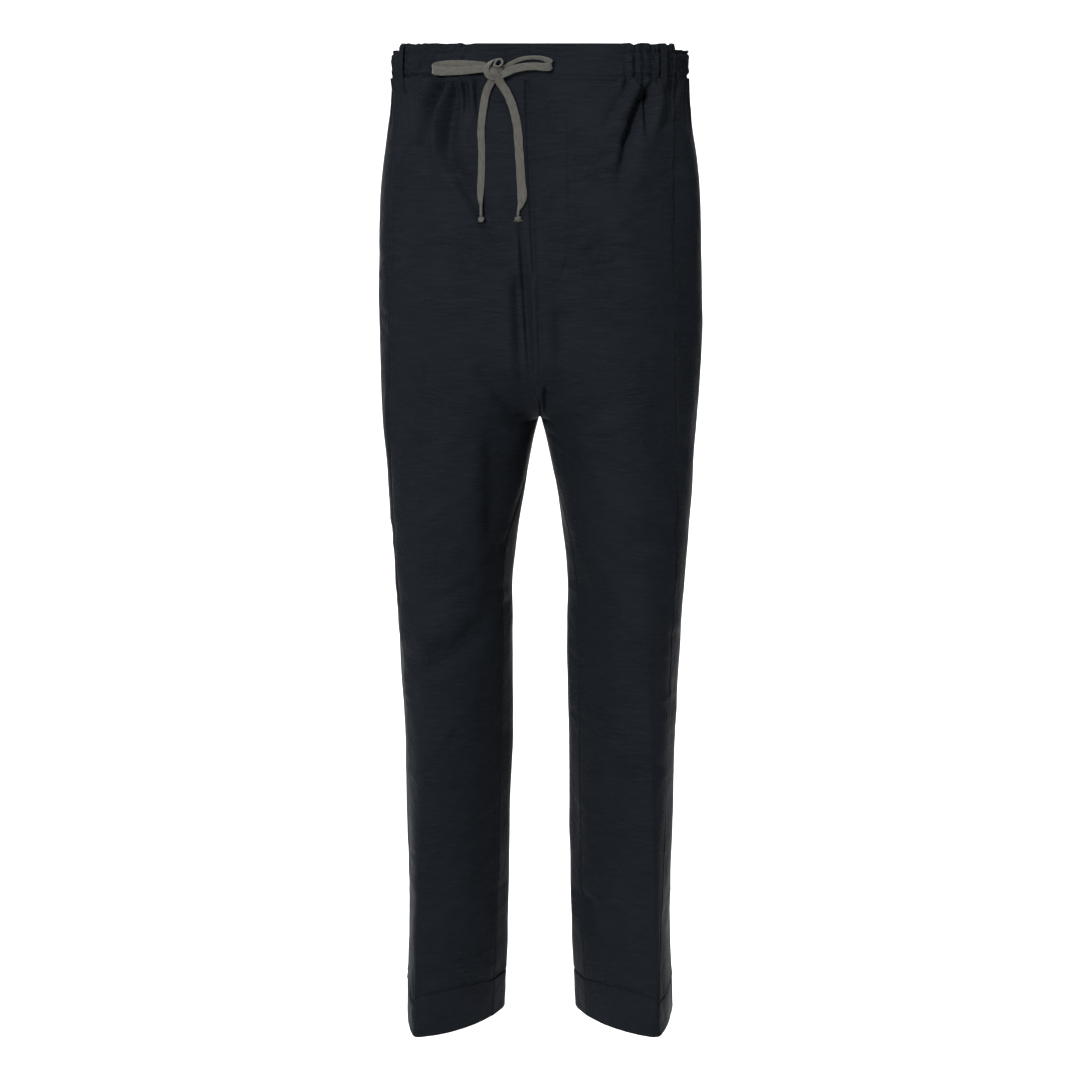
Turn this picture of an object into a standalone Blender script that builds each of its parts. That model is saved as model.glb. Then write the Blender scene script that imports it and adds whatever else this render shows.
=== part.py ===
"""Drawstring trousers, filled out and held up at the waist.

Metres, +Z up, +X to the wearer's left and the front towards -Y. The origin is the middle of the waist ring.
Each half is a tube worked out from the rows of FORM. Above the fork the tube is open towards the middle,
where the two halves meet at the centre seams. Below it, the tube closes and is a leg.
"""

import math

import bmesh
import bpy
import numpy as np

# Driving sizes
CLOTH = 0.0016
HEM_CLOTH = 0.0028
BAND_CLOTH = 0.0024
BAND_LIFT = 0.0010
SEAM_GAP = 0.0003
BAND_TOP = 0.0155
BACK_BAND_TOP = 0.0095
BAND_BOTTOM = -0.0190
HEM_Z = -1.0270
HEM_DEPTH = 0.0380
HEM_EDGE = 0.0080
FORK_Z = -0.3630
FRONT_RISE = 0.070
BACK_RISE = 0.110
FLY_LEAN = 0.0105
FLY_LEAN_END_Z = -0.330
BACK_CROWN = 0.02
INSEAM_TURN = 0.31
INSEAM_TURN_DROP = 0.15
PANEL_COLUMNS = {"front": 15, "back": 14}
FRONT_SPREAD = 0.8
TORSO_ROWS = 11
FORK_ROWS = 4
LEG_ROWS = 21
FORK_SIDE_DROP = 0.014
LEG_SPREAD = 1.12
SECTION_POINTS = 90
NORMAL_REACH = 0.006

# The tube at each height. out and inn are how far the silhouette stands from the middle, outside and
# between the legs. crown is where the front stands furthest, as a share of the way from inn to the side
# seam. front and back are the depths, widest the depth of the widest line, corner how far the section
# is pressed towards corners, and seam_left and seam_right how far the side seams stand from the middle.
FORM_COLUMNS = ("z", "out", "inn", "crown", "front", "back", "widest", "corner", "seam_left", "seam_right")
FORM = (
    (0.020, 0.1480, 0.0000, 0.385, -0.1050, 0.1040, 0.000, 1.00, 0.1340, 0.1360),
    (-0.030, 0.1495, 0.0000, 0.385, -0.1085, 0.1080, 0.000, 1.00, 0.1345, 0.1385),
    (-0.070, 0.1560, 0.0000, 0.420, -0.1120, 0.1160, 0.000, 1.00, 0.1335, 0.1420),
    (-0.130, 0.1635, 0.0000, 0.470, -0.1160, 0.1270, 0.000, 1.00, 0.1325, 0.1470),
    (-0.200, 0.1665, 0.0000, 0.52, -0.1180, 0.1340, 0.000, 1.00, 0.1345, 0.1510),
    (-0.300, 0.1665, 0.0000, 0.57, -0.1120, 0.1330, 0.004, 1.00, 0.1370, 0.1525),
    (-0.363, 0.1640, 0.0003, 0.60, -0.1040, 0.1260, 0.008, 1.00, 0.1390, 0.1550),
    (-0.385, 0.1628, 0.0060, 0.61, -0.1015, 0.1225, 0.009, 1.00, 0.1400, 0.1545),
    (-0.440, 0.1595, 0.0165, 0.64, -0.0960, 0.1140, 0.012, 1.02, 0.1410, 0.1530),
    (-0.520, 0.1545, 0.0270, 0.69, -0.0870, 0.1040, 0.016, 1.05, 0.1400, 0.1490),
    (-0.620, 0.1485, 0.0292, 0.75, -0.0770, 0.0950, 0.022, 1.10, 0.1365, 0.1440),
    (-0.740, 0.1447, 0.0310, 0.82, -0.0690, 0.0900, 0.029, 1.18, 0.1345, 0.1400),
    (-0.860, 0.1430, 0.0326, 0.90, -0.0610, 0.0870, 0.036, 1.22, 0.1305, 0.1380),
    (-0.950, 0.1437, 0.0350, 0.96, -0.0550, 0.0860, 0.042, 1.26, 0.1275, 0.1355),
    (-1.030, 0.1470, 0.0390, 1.00, -0.0500, 0.0860, 0.048, 1.32, 0.1253, 0.1330),
)

# The largest folds. Each row is the x and z of its start, its bend and its end, then its height and its
# width. A fold with a negative height is a trough.
FRONT_FOLDS = (
    ((-0.076, -0.018), (-0.108, -0.060), (-0.115, -0.118), -0.0040, 0.009),
    ((-0.078, -0.026), (-0.099, -0.076), (-0.074, -0.138), 0.0030, 0.010),
    ((-0.088, -0.091), (-0.062, -0.135), (-0.037, -0.182), -0.0024, 0.010),
    ((0.098, -0.018), (0.080, -0.055), (0.077, -0.120), -0.0040, 0.009),
    ((0.078, -0.022), (0.066, -0.064), (0.060, -0.088), 0.0026, 0.010),
    ((0.103, -0.022), (0.109, -0.048), (0.106, -0.076), -0.0024, 0.007),
    ((0.044, -0.175), (0.070, -0.210), (0.098, -0.240), -0.0026, 0.014),
    ((-0.015, -0.212), (-0.015, -0.250), (-0.013, -0.294), -0.0032, 0.008),
    ((0.016, -0.240), (0.023, -0.275), (0.024, -0.306), -0.0028, 0.011),
    ((-0.064, -0.296), (-0.040, -0.330), (-0.018, -0.352), -0.0032, 0.011),
    ((-0.046, -0.365), (-0.048, -0.450), (-0.045, -0.555), -0.0034, 0.015),
    ((-0.136, -0.625), (-0.092, -0.602), (-0.046, -0.573), -0.0036, 0.013),
    ((-0.130, -0.592), (-0.092, -0.572), (-0.050, -0.545), 0.0022, 0.015),
    ((0.042, -0.521), (0.054, -0.622), (0.042, -0.726), -0.0034, 0.015),
    ((0.070, -0.741), (0.100, -0.736), (0.135, -0.724), -0.0028, 0.012),
    ((0.046, -0.880), (0.052, -0.912), (0.062, -0.938), -0.0030, 0.009),
    ((0.128, -0.480), (0.140, -0.478), (0.155, -0.476), -0.0028, 0.011),
)
BACK_FOLDS = (
    ((0.030, -0.018), (0.035, -0.060), (0.031, -0.105), -0.0034, 0.011),
    ((0.072, -0.018), (0.082, -0.060), (0.086, -0.118), -0.0038, 0.011),
    ((0.113, -0.018), (0.120, -0.055), (0.117, -0.092), -0.0030, 0.010),
    ((-0.034, -0.018), (-0.029, -0.066), (-0.036, -0.120), -0.0036, 0.011),
    ((-0.078, -0.018), (-0.086, -0.056), (-0.082, -0.100), -0.0032, 0.011),
    ((-0.110, -0.018), (-0.120, -0.060), (-0.121, -0.110), -0.0034, 0.010),
    ((0.034, -0.374), (0.076, -0.394), (0.126, -0.388), -0.0040, 0.018),
    ((-0.040, -0.382), (-0.080, -0.388), (-0.120, -0.374), -0.0036, 0.020),
    ((0.044, -0.592), (0.090, -0.580), (0.140, -0.600), -0.0042, 0.013),
    ((0.050, -0.640), (0.090, -0.654), (0.134, -0.642), -0.0034, 0.013),
    ((-0.042, -0.606), (-0.088, -0.592), (-0.140, -0.582), -0.0040, 0.013),
    ((-0.052, -0.652), (-0.094, -0.660), (-0.130, -0.636), -0.0030, 0.013),
    ((0.060, -0.802), (0.098, -0.790), (0.136, -0.800), -0.0026, 0.014),
    ((-0.056, -0.776), (-0.098, -0.784), (-0.138, -0.766), -0.0028, 0.014),
    ((-0.070, -0.930), (-0.100, -0.938), (-0.132, -0.922), -0.0022, 0.012),
)
FOLD_SAMPLES = 14
FOLD_FADE = 0.03
FOLD_START = 0.014
FOLD_DEPTH = 1.35

# The waistband: for each piece its top, how far from the fly it is plain, and the phase of its gathers
BANDS = {
    "left": ("waistband_front_left", BAND_TOP, 0.087, 1.3),
    "right": ("waistband_front_right", BAND_TOP, 0.051, 2.9),
    "back": ("waistband_back", BACK_BAND_TOP, 0.0, 4.4),
}
GATHER_PITCH = 0.0098
GATHER_HEIGHT = 0.0013
GATHER_STEPS = 4
GATHER_AT_SEAM = 0.6
PLAIN_STEP = 0.012
BAND_ROWS = 3
# Slow waves that make the gathers uneven: how many radians a metre, and how much of each
GATHER_DRIFTS = ((71.0, 0.9), (163.0, 0.6))
GATHER_SWELL = (113.0, 0.22)

# Belt loops. Each front one has its own x. They rest on the waistband and come in to the panel at the foot.
FRONT_LOOPS = {"left": 0.1195, "right": 0.1345}
LOOP_WIDTH = 0.0090
LOOP_CLOTH = 0.0016
LOOP_BOTTOM = -0.0325
LOOP_REST = {"front": 0.0026, "back": 0.0023}
LOOP_FOOT = 0.0006
LOOP_FOOT_HEIGHT = 0.0110
LOOP_BOW = 0.0014
LOOP_ROWS = 9
SLOPE_REACH = 0.004

# Pieces behind the fronts: how many of the panel's columns and how far down they reach
POCKET_COLUMNS = 9
POCKET_BOTTOM = -0.270
POCKET_ROUND = 3
UNDERLAP_COLUMNS = 3
UNDERLAP_BOTTOM = -0.235
INNER_GAP = 0.0004
INNER_CLOTH = 0.0014

# The drawstring: a flat lace. Each row of a route is x, y, z and the share of the full width there.
LACE_WIDTH = 0.0082
LACE_THICK = 0.0014
LACE_STEP = 0.0045
KNOT_CENTRE = (-0.0446, -0.1146, -0.0088)
KNOT_SIZE = (0.0168, 0.0094, 0.0215)
END_KNOTS = {
    "end_knot_left": ((-0.0216, -0.1204, -0.1535), (0.0100, 0.0046, 0.0060)),
    "end_knot_right": ((-0.0578, -0.1186, -0.1535), (0.0056, 0.0046, 0.0056)),
}
LOOP_ROUTES = {
    "drawstring_loop_right": (
        (-0.0531, -0.1138, -0.0062, 1.0),
        (-0.0600, -0.1120, -0.0052, 1.0),
        (-0.0700, -0.1095, -0.0042, 1.0),
        (-0.0800, -0.1069, -0.0040, 1.0),
        (-0.0900, -0.1039, -0.0043, 1.0),
        (-0.0980, -0.1014, -0.0050, 1.0),
        (-0.1028, -0.1012, -0.0064, 1.0),
        (-0.1046, -0.1030, -0.0080, 1.0),
        (-0.1030, -0.1050, -0.0096, 1.0),
        (-0.0980, -0.1068, -0.0104, 1.0),
        (-0.0900, -0.1090, -0.0108, 1.0),
        (-0.0800, -0.1117, -0.0110, 1.0),
        (-0.0700, -0.1141, -0.0108, 1.0),
        (-0.0610, -0.1160, -0.0104, 1.0),
        (-0.0529, -0.1174, -0.0100, 1.0),
    ),
    "drawstring_loop_left": (
        (-0.0354, -0.1122, -0.0090, 1.0),
        (-0.0300, -0.1110, -0.0060, 1.0),
        (-0.0195, -0.1108, -0.0016, 1.0),
        (-0.0050, -0.1112, 0.0004, 1.0),
        (0.0045, -0.1118, -0.0008, 1.0),
        (0.0095, -0.1130, -0.0026, 1.0),
        (0.0110, -0.1150, -0.0044, 1.0),
        (0.0090, -0.1168, -0.0058, 1.0),
        (0.0040, -0.1176, -0.0060, 1.0),
        (-0.0050, -0.1180, -0.0052, 1.0),
        (-0.0195, -0.1180, -0.0066, 1.0),
        (-0.0290, -0.1178, -0.0096, 1.0),
        (-0.0355, -0.1176, -0.0128, 1.0),
    ),
}
TAIL_ROUTES = {
    "drawstring_tail_right": (
        (-0.0470, -0.1142, -0.0195, 0.9),
        (-0.0516, -0.1122, -0.0285, 0.9),
        (-0.0556, -0.1128, -0.0477, 0.9),
        (-0.0576, -0.1144, -0.0670, 0.85),
        (-0.0570, -0.1158, -0.0863, 0.8),
        (-0.0579, -0.1172, -0.1202, 0.8),
        (-0.0585, -0.1176, -0.1320, 0.7),
        (-0.0580, -0.1180, -0.1400, 0.35),
        (-0.0579, -0.1184, -0.1503, 0.3),
    ),
    "drawstring_tail_left": (
        (-0.0405, -0.1157, -0.0186, 1.0),
        (-0.0312, -0.1146, -0.0333, 1.0),
        (-0.0234, -0.1140, -0.0573, 1.0),
        (-0.0205, -0.1158, -0.0863, 1.0),
        (-0.0186, -0.1176, -0.1154, 1.0),
        (-0.0178, -0.1189, -0.1340, 1.0),
        (-0.0194, -0.1195, -0.1405, 0.6),
        (-0.0212, -0.1200, -0.1450, 0.3),
        (-0.0216, -0.1203, -0.1501, 0.3),
    ),
}

NAVY = (0.0120, 0.0150, 0.0195, 1.0)
NAVY_INSIDE = (0.0100, 0.0125, 0.0165, 1.0)
TAUPE = (0.1300, 0.1220, 0.1020, 1.0)
SIDES = {"left": 1, "right": -1}


def clear_scene():
    for old in list(bpy.data.objects):
        bpy.data.objects.remove(old, do_unlink=True)


def cloth_material(name, colour, roughness):
    material = bpy.data.materials.new(name)
    material.use_nodes = True
    shader = material.node_tree.nodes["Principled BSDF"]
    shader.inputs["Base Color"].default_value = colour
    shader.inputs["Roughness"].default_value = roughness
    shader.inputs["Metallic"].default_value = 0.0
    return material


def smooth_step(value):
    held = np.clip(value, 0.0, 1.0)
    return held * held * (3.0 - 2.0 * held)


def form_at(z):
    """The values of FORM at a height, on a smooth curve through its rows."""
    rows = np.array(FORM)[::-1]
    heights = rows[:, 0]
    slopes = np.gradient(rows, heights, axis=0)
    i = int(np.clip(np.searchsorted(heights, z) - 1, 0, len(heights) - 2))
    step = heights[i + 1] - heights[i]
    t = (z - heights[i]) / step
    start = 2 * t**3 - 3 * t**2 + 1
    end = 3 * t**2 - 2 * t**3
    leave = (t**3 - 2 * t**2 + t) * step
    arrive = (t**3 - t**2) * step
    values = start * rows[i] + end * rows[i + 1] + leave * slopes[i] + arrive * slopes[i + 1]
    return dict(zip(FORM_COLUMNS, values))


def inner_edge(form):
    """The x of the tube's inner side: at the centre seam above the fork, and between the legs below it."""
    return max(form["inn"], SEAM_GAP / 2) if form["z"] < FORK_Z else SEAM_GAP / 2


def rise_share(z, rise):
    """0 at the fork, and 1 where the centre seam has reached the front or the back."""
    share = np.clip((z - FORK_Z) / rise, 0.0, 1.0)
    return math.sqrt(1.0 - (1.0 - share) ** 2), share


def section(side, z):
    """The whole tube at a height: points from the middle of the front round to the middle of the back."""
    form = form_at(z)
    seam = form["seam_" + side]
    inn = inner_edge(form)
    back_crown = min(form["crown"] + BACK_CROWN, 0.5)
    crown = {"front": inn + form["crown"] * (seam - inn), "back": inn + back_crown * (form["out"] - inn)}
    turn = np.linspace(0.0, math.pi / 2, SECTION_POINTS)
    power = form["corner"]
    quarters = []
    for face, rise in (("front", FRONT_RISE), ("back", BACK_RISE)):
        press = power if face == "front" else 1.0 + 0.4 * (power - 1.0)
        middle = form["widest"]
        valley = press
        if z >= FORK_Z:
            share, climb = rise_share(z, rise)
            fork_y = form_at(FORK_Z)["widest"]
            middle = fork_y + (form[face] - fork_y) * share
            valley = press + 2.0 * climb
        towards = np.abs(np.sin(turn)) ** press
        away = np.abs(np.cos(turn)) ** press
        inner_x = inn + (crown[face] - inn) * (1.0 - away)
        inner_y = middle + (form[face] - middle) * np.abs(np.sin(turn)) ** valley
        outer_x = crown[face] + (form["out"] - crown[face]) * towards
        outer_y = form["widest"] + (form[face] - form["widest"]) * away
        quarters.append((np.column_stack([inner_x, inner_y]), np.column_stack([outer_x, outer_y])))
    (front_inner, front_outer), (back_inner, back_outer) = quarters
    around = np.vstack([front_inner, front_outer[1:], back_outer[::-1][1:], back_inner[::-1][1:]])
    points = np.column_stack([SIDES[side] * around[:, 0], around[:, 1], np.full(len(around), z)])
    return lean_fly(points, form)


def lean_fly(points, form):
    """Moves the middle of the front sideways, because the fly hangs a little askew at the top."""
    z = points[0, 2]
    lean = -FLY_LEAN * smooth_step((z - FLY_LEAN_END_Z) / (BAND_TOP - FLY_LEAN_END_Z))
    inside = 1.0 - np.clip(np.abs(points[:, 0]) / form["out"], 0.0, 1.0) ** 2
    forward = np.clip(points[:, 1] / form["front"], 0.0, 1.0)
    moved = points.copy()
    moved[:, 0] += lean * inside**2 * forward
    return moved


def lengths_along(points):
    return np.concatenate([[0.0], np.cumsum(np.linalg.norm(np.diff(points, axis=0), axis=1))])


def points_at(points, lengths, wanted):
    return np.column_stack([np.interp(wanted, lengths, points[:, k]) for k in range(3)])


def seam_places(side, z):
    """Where the inner edge and the side seam lie, counted in points of the section."""
    form = form_at(z)
    inn = inner_edge(form)
    crown = inn + form["crown"] * (form["seam_" + side] - inn)
    share = np.clip((form["seam_" + side] - crown) / (form["out"] - crown), 0.0, 1.0)
    turn = math.asin(share ** (1.0 / form["corner"])) / (math.pi / 2)
    inseam_turn = INSEAM_TURN * smooth_step((FORK_Z - z) / INSEAM_TURN_DROP)
    quarter = SECTION_POINTS - 1
    return quarter * inseam_turn, quarter * (1.0 + turn)


def seam_length(side, z, lengths):
    """How far along the section the side seam lies."""
    return float(np.interp(seam_places(side, z)[1], np.arange(len(lengths)), lengths))


def fold_height(points):
    """How far the folds move the cloth out at each point."""
    height = np.zeros(len(points))
    widest = np.array([form_at(z)["widest"] for z in points[:, 2]])
    for folds, facing in ((FRONT_FOLDS, -1.0), (BACK_FOLDS, 1.0)):
        weight = smooth_step((points[:, 1] - widest) * facing / FOLD_FADE)
        for start, bend, end, size, width in folds:
            t = np.linspace(0.0, 1.0, FOLD_SAMPLES)[:, None]
            line = (1 - t) ** 2 * np.array(start) + 2 * t * (1 - t) * np.array(bend) + t**2 * np.array(end)
            away = np.linalg.norm(points[:, None, [0, 2]] - line[None], axis=2)
            nearest = away.argmin(axis=1)
            along = nearest / (FOLD_SAMPLES - 1)
            taper = np.clip(4.0 * (1.0 - along), 0.35, 1.0)
            height += weight * taper * size * np.exp(-((away.min(axis=1) / width) ** 2))
    below_band = smooth_step((BAND_BOTTOM - points[:, 2]) / FOLD_START)
    return height * FOLD_DEPTH * below_band


def row_heights():
    """The heights of a panel's rows at its inner edge and at the side seam.

    At the inner edge they lie close together where the centre seam turns under at the fork.
    """
    top = BAND_BOTTOM - SEAM_GAP
    turn = np.linspace(0.0, math.pi / 2, FORK_ROWS + 1)
    under = (FORK_Z + FRONT_RISE * (1.0 - np.cos(turn)))[::-1]
    torso = np.linspace(top, under[0], TORSO_ROWS + 1)
    leg = np.linspace(0.0, 1.0, LEG_ROWS + 1) ** LEG_SPREAD
    side_fork = FORK_Z - FORK_SIDE_DROP
    inner_leg = FORK_Z + (HEM_Z - FORK_Z) * leg
    side_leg = side_fork + (HEM_Z - side_fork) * leg
    side_under = np.linspace(under[0], side_fork, FORK_ROWS + 1)
    inner = np.concatenate([torso, under[1:], inner_leg[1:]])
    return inner, np.concatenate([torso, side_under[1:], side_leg[1:]])


def cloth_point(side, face, share, z):
    """A point of a panel at a share of its width and a height, and the way along the cloth there."""
    points = section(side, z)
    inner, seam = seam_places(side, z)
    around = len(points) - 1
    first, last = (inner, seam) if face == "front" else (seam, around + inner)
    if z < FORK_Z:
        points = np.vstack([points[:-1], points[:-1], points])
        first, last = first + around, last + around
    lengths = lengths_along(points)
    edges = np.interp((first, last), np.arange(len(points)), lengths)
    aim = float(np.interp(first + share * (last - first), np.arange(len(points)), lengths))
    wanted = np.clip(aim, edges[0] + SEAM_GAP / 2, edges[1] - SEAM_GAP / 2)
    reach = (max(aim - NORMAL_REACH, 0.0), min(aim + NORMAL_REACH, lengths[-1]), wanted)
    behind, ahead, at = points_at(points, lengths, reach)
    return at, ahead - behind


def panel_grid(side, face):
    """Rows of points on the cloth's outside, and the directions out of the cloth there."""
    columns = np.linspace(0.0, 1.0, PANEL_COLUMNS[face])
    columns = columns**FRONT_SPREAD if face == "front" else columns
    from_inner = columns if face == "front" else 1.0 - columns
    inner_rows, side_rows = row_heights()
    base = np.zeros((len(inner_rows), len(columns), 3))
    tangent = np.zeros_like(base)
    for r, (inner_z, side_z) in enumerate(zip(inner_rows, side_rows)):
        for c, share in enumerate(columns):
            z = inner_z + (side_z - inner_z) * smooth_step(from_inner[c])
            base[r, c], tangent[r, c] = cloth_point(side, face, share, z)
    down = np.gradient(base, axis=0)
    normal = np.cross(down, tangent) * SIDES[side]
    normal /= np.linalg.norm(normal, axis=2, keepdims=True)
    heights = fold_height(base.reshape(-1, 3)).reshape(base.shape[:2])
    return base + normal * heights[..., None], normal


def add_wall(name, outer, inner, material, keep=None):
    """One closed wall between two grids of points. keep says which cells of the grid it has."""
    rows, columns = outer.shape[:2]
    if keep is None:
        keep = np.ones((rows - 1, columns - 1), bool)
    mesh = bpy.data.meshes.new(name)
    bm = bmesh.new()
    skins = []
    for grid in (outer, inner):
        skins.append([[bm.verts.new(grid[r, c]) for c in range(columns)] for r in range(rows)])
    edges = {}
    for r, c in zip(*np.nonzero(keep)):
        corners = [(r, c), (r + 1, c), (r + 1, c + 1), (r, c + 1)]
        bm.faces.new([skins[0][i][j] for i, j in corners])
        bm.faces.new([skins[1][i][j] for i, j in (corners[0], corners[3], corners[2], corners[1])])
        for a, b in zip(corners, corners[1:] + corners[:1]):
            if (b, a) in edges:
                del edges[(b, a)]
            else:
                edges[(a, b)] = True
    for a, b in edges:
        near_a, near_b = (skins[0][i][j] for i, j in (a, b))
        far_a, far_b = (skins[1][i][j] for i, j in (a, b))
        border = [near_a, far_a, far_b, near_b] if a < b else [near_b, near_a, far_a, far_b]
        bm.faces.new(border)
    loose = [vert for vert in bm.verts if not vert.link_faces]
    bmesh.ops.delete(bm, geom=loose, context="VERTS")
    if bm.calc_volume(signed=True) < 0:
        bmesh.ops.reverse_faces(bm, faces=bm.faces)
    bm.to_mesh(mesh)
    bm.free()
    return add_object(name, mesh, material)


def add_object(name, mesh, material):
    for polygon in mesh.polygons:
        polygon.use_smooth = True
    mesh.set_sharp_from_angle(angle=math.radians(50))
    mesh.materials.append(material)
    made = bpy.data.objects.new(name, mesh)
    bpy.context.scene.collection.objects.link(made)
    return made


def add_panel(side, face, grid, material):
    outer, normal = grid
    in_hem = smooth_step((HEM_Z + HEM_DEPTH + HEM_EDGE / 2 - outer[:, :, 2]) / HEM_EDGE)
    thickness = CLOTH + (HEM_CLOTH - CLOTH) * in_hem
    return add_wall(f"{face}_panel_{side}", outer, outer - normal * thickness[..., None], material)


def add_pocket_bag(side, grid, material):
    """A flat bag on the inside of the front, by the side seam, made from the panel's own points."""
    outer, normal = (part[:, -POCKET_COLUMNS:] for part in grid)
    rows = int((outer[:, 0, 2] > POCKET_BOTTOM).sum())
    outer, normal = outer[1:rows, :-1], normal[1:rows, :-1]
    keep = np.ones((outer.shape[0] - 1, outer.shape[1] - 1), bool)
    for step in range(POCKET_ROUND):
        keep[-1 - step, : POCKET_ROUND - step] = False
    near = outer - normal * (CLOTH + INNER_GAP)
    add_wall(f"pocket_bag_{side}", near, near - normal * INNER_CLOTH, material, keep)


def add_fly_underlap(grid, material):
    """The strip that reaches from the right front's edge behind the left front, made from its points."""
    outer, normal = (part[:, : UNDERLAP_COLUMNS + 1] for part in grid)
    rows = int((outer[:, 0, 2] > UNDERLAP_BOTTOM).sum())
    near = outer[:rows] - normal[:rows] * (CLOTH + INNER_GAP)
    add_wall("fly_underlap", near, near - normal[:rows] * INNER_CLOTH, material)


def gather_wave(distance, phase):
    """Uneven gathers along the ring: the height, in shares of GATHER_HEIGHT, at each distance."""
    drift = sum(much * np.sin(distance * rate + phase) for rate, much in GATHER_DRIFTS)
    rate, much = GATHER_SWELL
    swell = 1.0 - much + much * np.sin(distance * rate + phase)
    return swell * np.sin(2.0 * math.pi * distance / GATHER_PITCH + drift)


def band_columns(length, plain):
    """Distances along a waistband piece: wide steps where it is plain, fine ones where it is gathered."""
    coarse_steps = int(round(plain / PLAIN_STEP))
    fine_steps = int(round((length - plain) / GATHER_PITCH)) * GATHER_STEPS
    coarse = np.linspace(0.0, plain, coarse_steps + 1)
    fine = np.linspace(plain, length, fine_steps + 1)
    return np.concatenate([coarse, fine[1:]])


def ring_at(z, span):
    """Points of the waist ring over a span: a front half from the fly to the side seam, or the back."""
    if span in SIDES:
        points = section(span, z)
        lengths = lengths_along(points)
        seam = seam_length(span, z, lengths)
        return points, lengths, SEAM_GAP / 2, seam - SEAM_GAP / 2
    left, right = section("left", z), section("right", z)
    points = np.vstack([left, right[::-1]])
    lengths = lengths_along(points)
    first = seam_length("left", z, lengths)
    last = lengths[-1] - seam_length("right", z, lengths_along(right))
    return points, lengths, first + SEAM_GAP / 2, last - SEAM_GAP / 2


def add_waistband(span, material):
    name, top, plain, phase = BANDS[span]
    heights = np.linspace(BAND_BOTTOM, top, BAND_ROWS)
    _, _, first, last = ring_at(0.0, span)
    length = last - first
    share = band_columns(length, plain) / length
    turn = -SIDES[span] if span in SIDES else -1
    outer, inner = [], []
    for z in heights:
        points, lengths, first, last = ring_at(z, span)
        wanted = first + share * (last - first)
        on_ring = points_at(points, lengths, wanted)
        tangent = points_at(points, lengths, np.minimum(wanted + NORMAL_REACH, lengths[-1]))
        tangent -= points_at(points, lengths, np.maximum(wanted - NORMAL_REACH, 0.0))
        out = np.column_stack([-tangent[:, 1], tangent[:, 0], np.zeros(len(tangent))]) * turn
        out /= np.linalg.norm(out, axis=1, keepdims=True)
        gathered = smooth_step((share * length - plain) / GATHER_PITCH) if plain else 1.0
        at_seam = GATHER_AT_SEAM if z == BAND_BOTTOM else 1.0
        wave = gather_wave(share * length, phase) * gathered * GATHER_HEIGHT * at_seam
        skin = on_ring + out * (BAND_LIFT + wave)[:, None]
        outer.append(skin)
        inner.append(skin - out * BAND_CLOTH)
    add_wall(name, np.array(outer), np.array(inner), material)


def on_front(side, z, x):
    """The point of the outside at a height and an x, and the level direction out of the cloth."""
    points = section(side, z)[: 2 * SECTION_POINTS - 1]
    across = points[:, 0] * SIDES[side]
    at = np.array([np.interp(x, across, points[:, 0]), np.interp(x, across, points[:, 1]), z])
    ahead, behind = np.interp((x + SLOPE_REACH, x - SLOPE_REACH), across, points[:, 1])
    out = np.array([SIDES[side] * (ahead - behind) / (2 * SLOPE_REACH), -1.0, 0.0])
    return at, out / np.linalg.norm(out)


def add_belt_loop(name, side, x, facing, top, material):
    """A strip from the top of the waistband to just below it, standing a little off the cloth."""
    outer, inner = [], []
    for share in np.linspace(0.0, 1.0, LOOP_ROWS):
        z = LOOP_BOTTOM + share * (top - LOOP_BOTTOM)
        foot = smooth_step((z - LOOP_BOTTOM) / LOOP_FOOT_HEIGHT)
        stand = LOOP_FOOT + (LOOP_REST[facing] - LOOP_FOOT) * foot + LOOP_BOW * math.sin(math.pi * share)
        line_out, line_in = [], []
        for across in (-LOOP_WIDTH / 2, 0.0, LOOP_WIDTH / 2):
            if facing == "front":
                at, out = on_front(side, z, x + across)
            else:
                ring = section("left", z)
                at = np.array([across, ring[-1, 1], z])
                out = np.array([0.0, 1.0, 0.0])
            line_out.append(at + out * (stand + LOOP_CLOTH))
            line_in.append(at + out * stand)
        outer.append(line_out)
        inner.append(line_in)
    add_wall(name, np.array(outer), np.array(inner), material)


def add_round(name, centre, size, material):
    mesh = bpy.data.meshes.new(name)
    bm = bmesh.new()
    bmesh.ops.create_icosphere(bm, subdivisions=2, radius=0.5)
    bmesh.ops.scale(bm, vec=size, verts=bm.verts)
    bmesh.ops.translate(bm, vec=centre, verts=bm.verts)
    bm.to_mesh(mesh)
    bm.free()
    return add_object(name, mesh, material)


def smooth_route(route, step):
    """Points at even steps on a smooth curve through a route's rows."""
    rows = np.array(route)
    lengths = lengths_along(rows[:, :3])
    slopes = np.gradient(rows, lengths, axis=0)
    wanted = np.linspace(0.0, lengths[-1], int(round(lengths[-1] / step)) + 1)
    i = np.clip(np.searchsorted(lengths, wanted, side="right") - 1, 0, len(lengths) - 2)
    span = lengths[i + 1] - lengths[i]
    t = ((wanted - lengths[i]) / span)[:, None]
    span = span[:, None]
    curve = (2 * t**3 - 3 * t**2 + 1) * rows[i] + (3 * t**2 - 2 * t**3) * rows[i + 1]
    return curve + (t**3 - 2 * t**2 + t) * span * slopes[i] + (t**3 - t**2) * span * slopes[i + 1]


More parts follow.
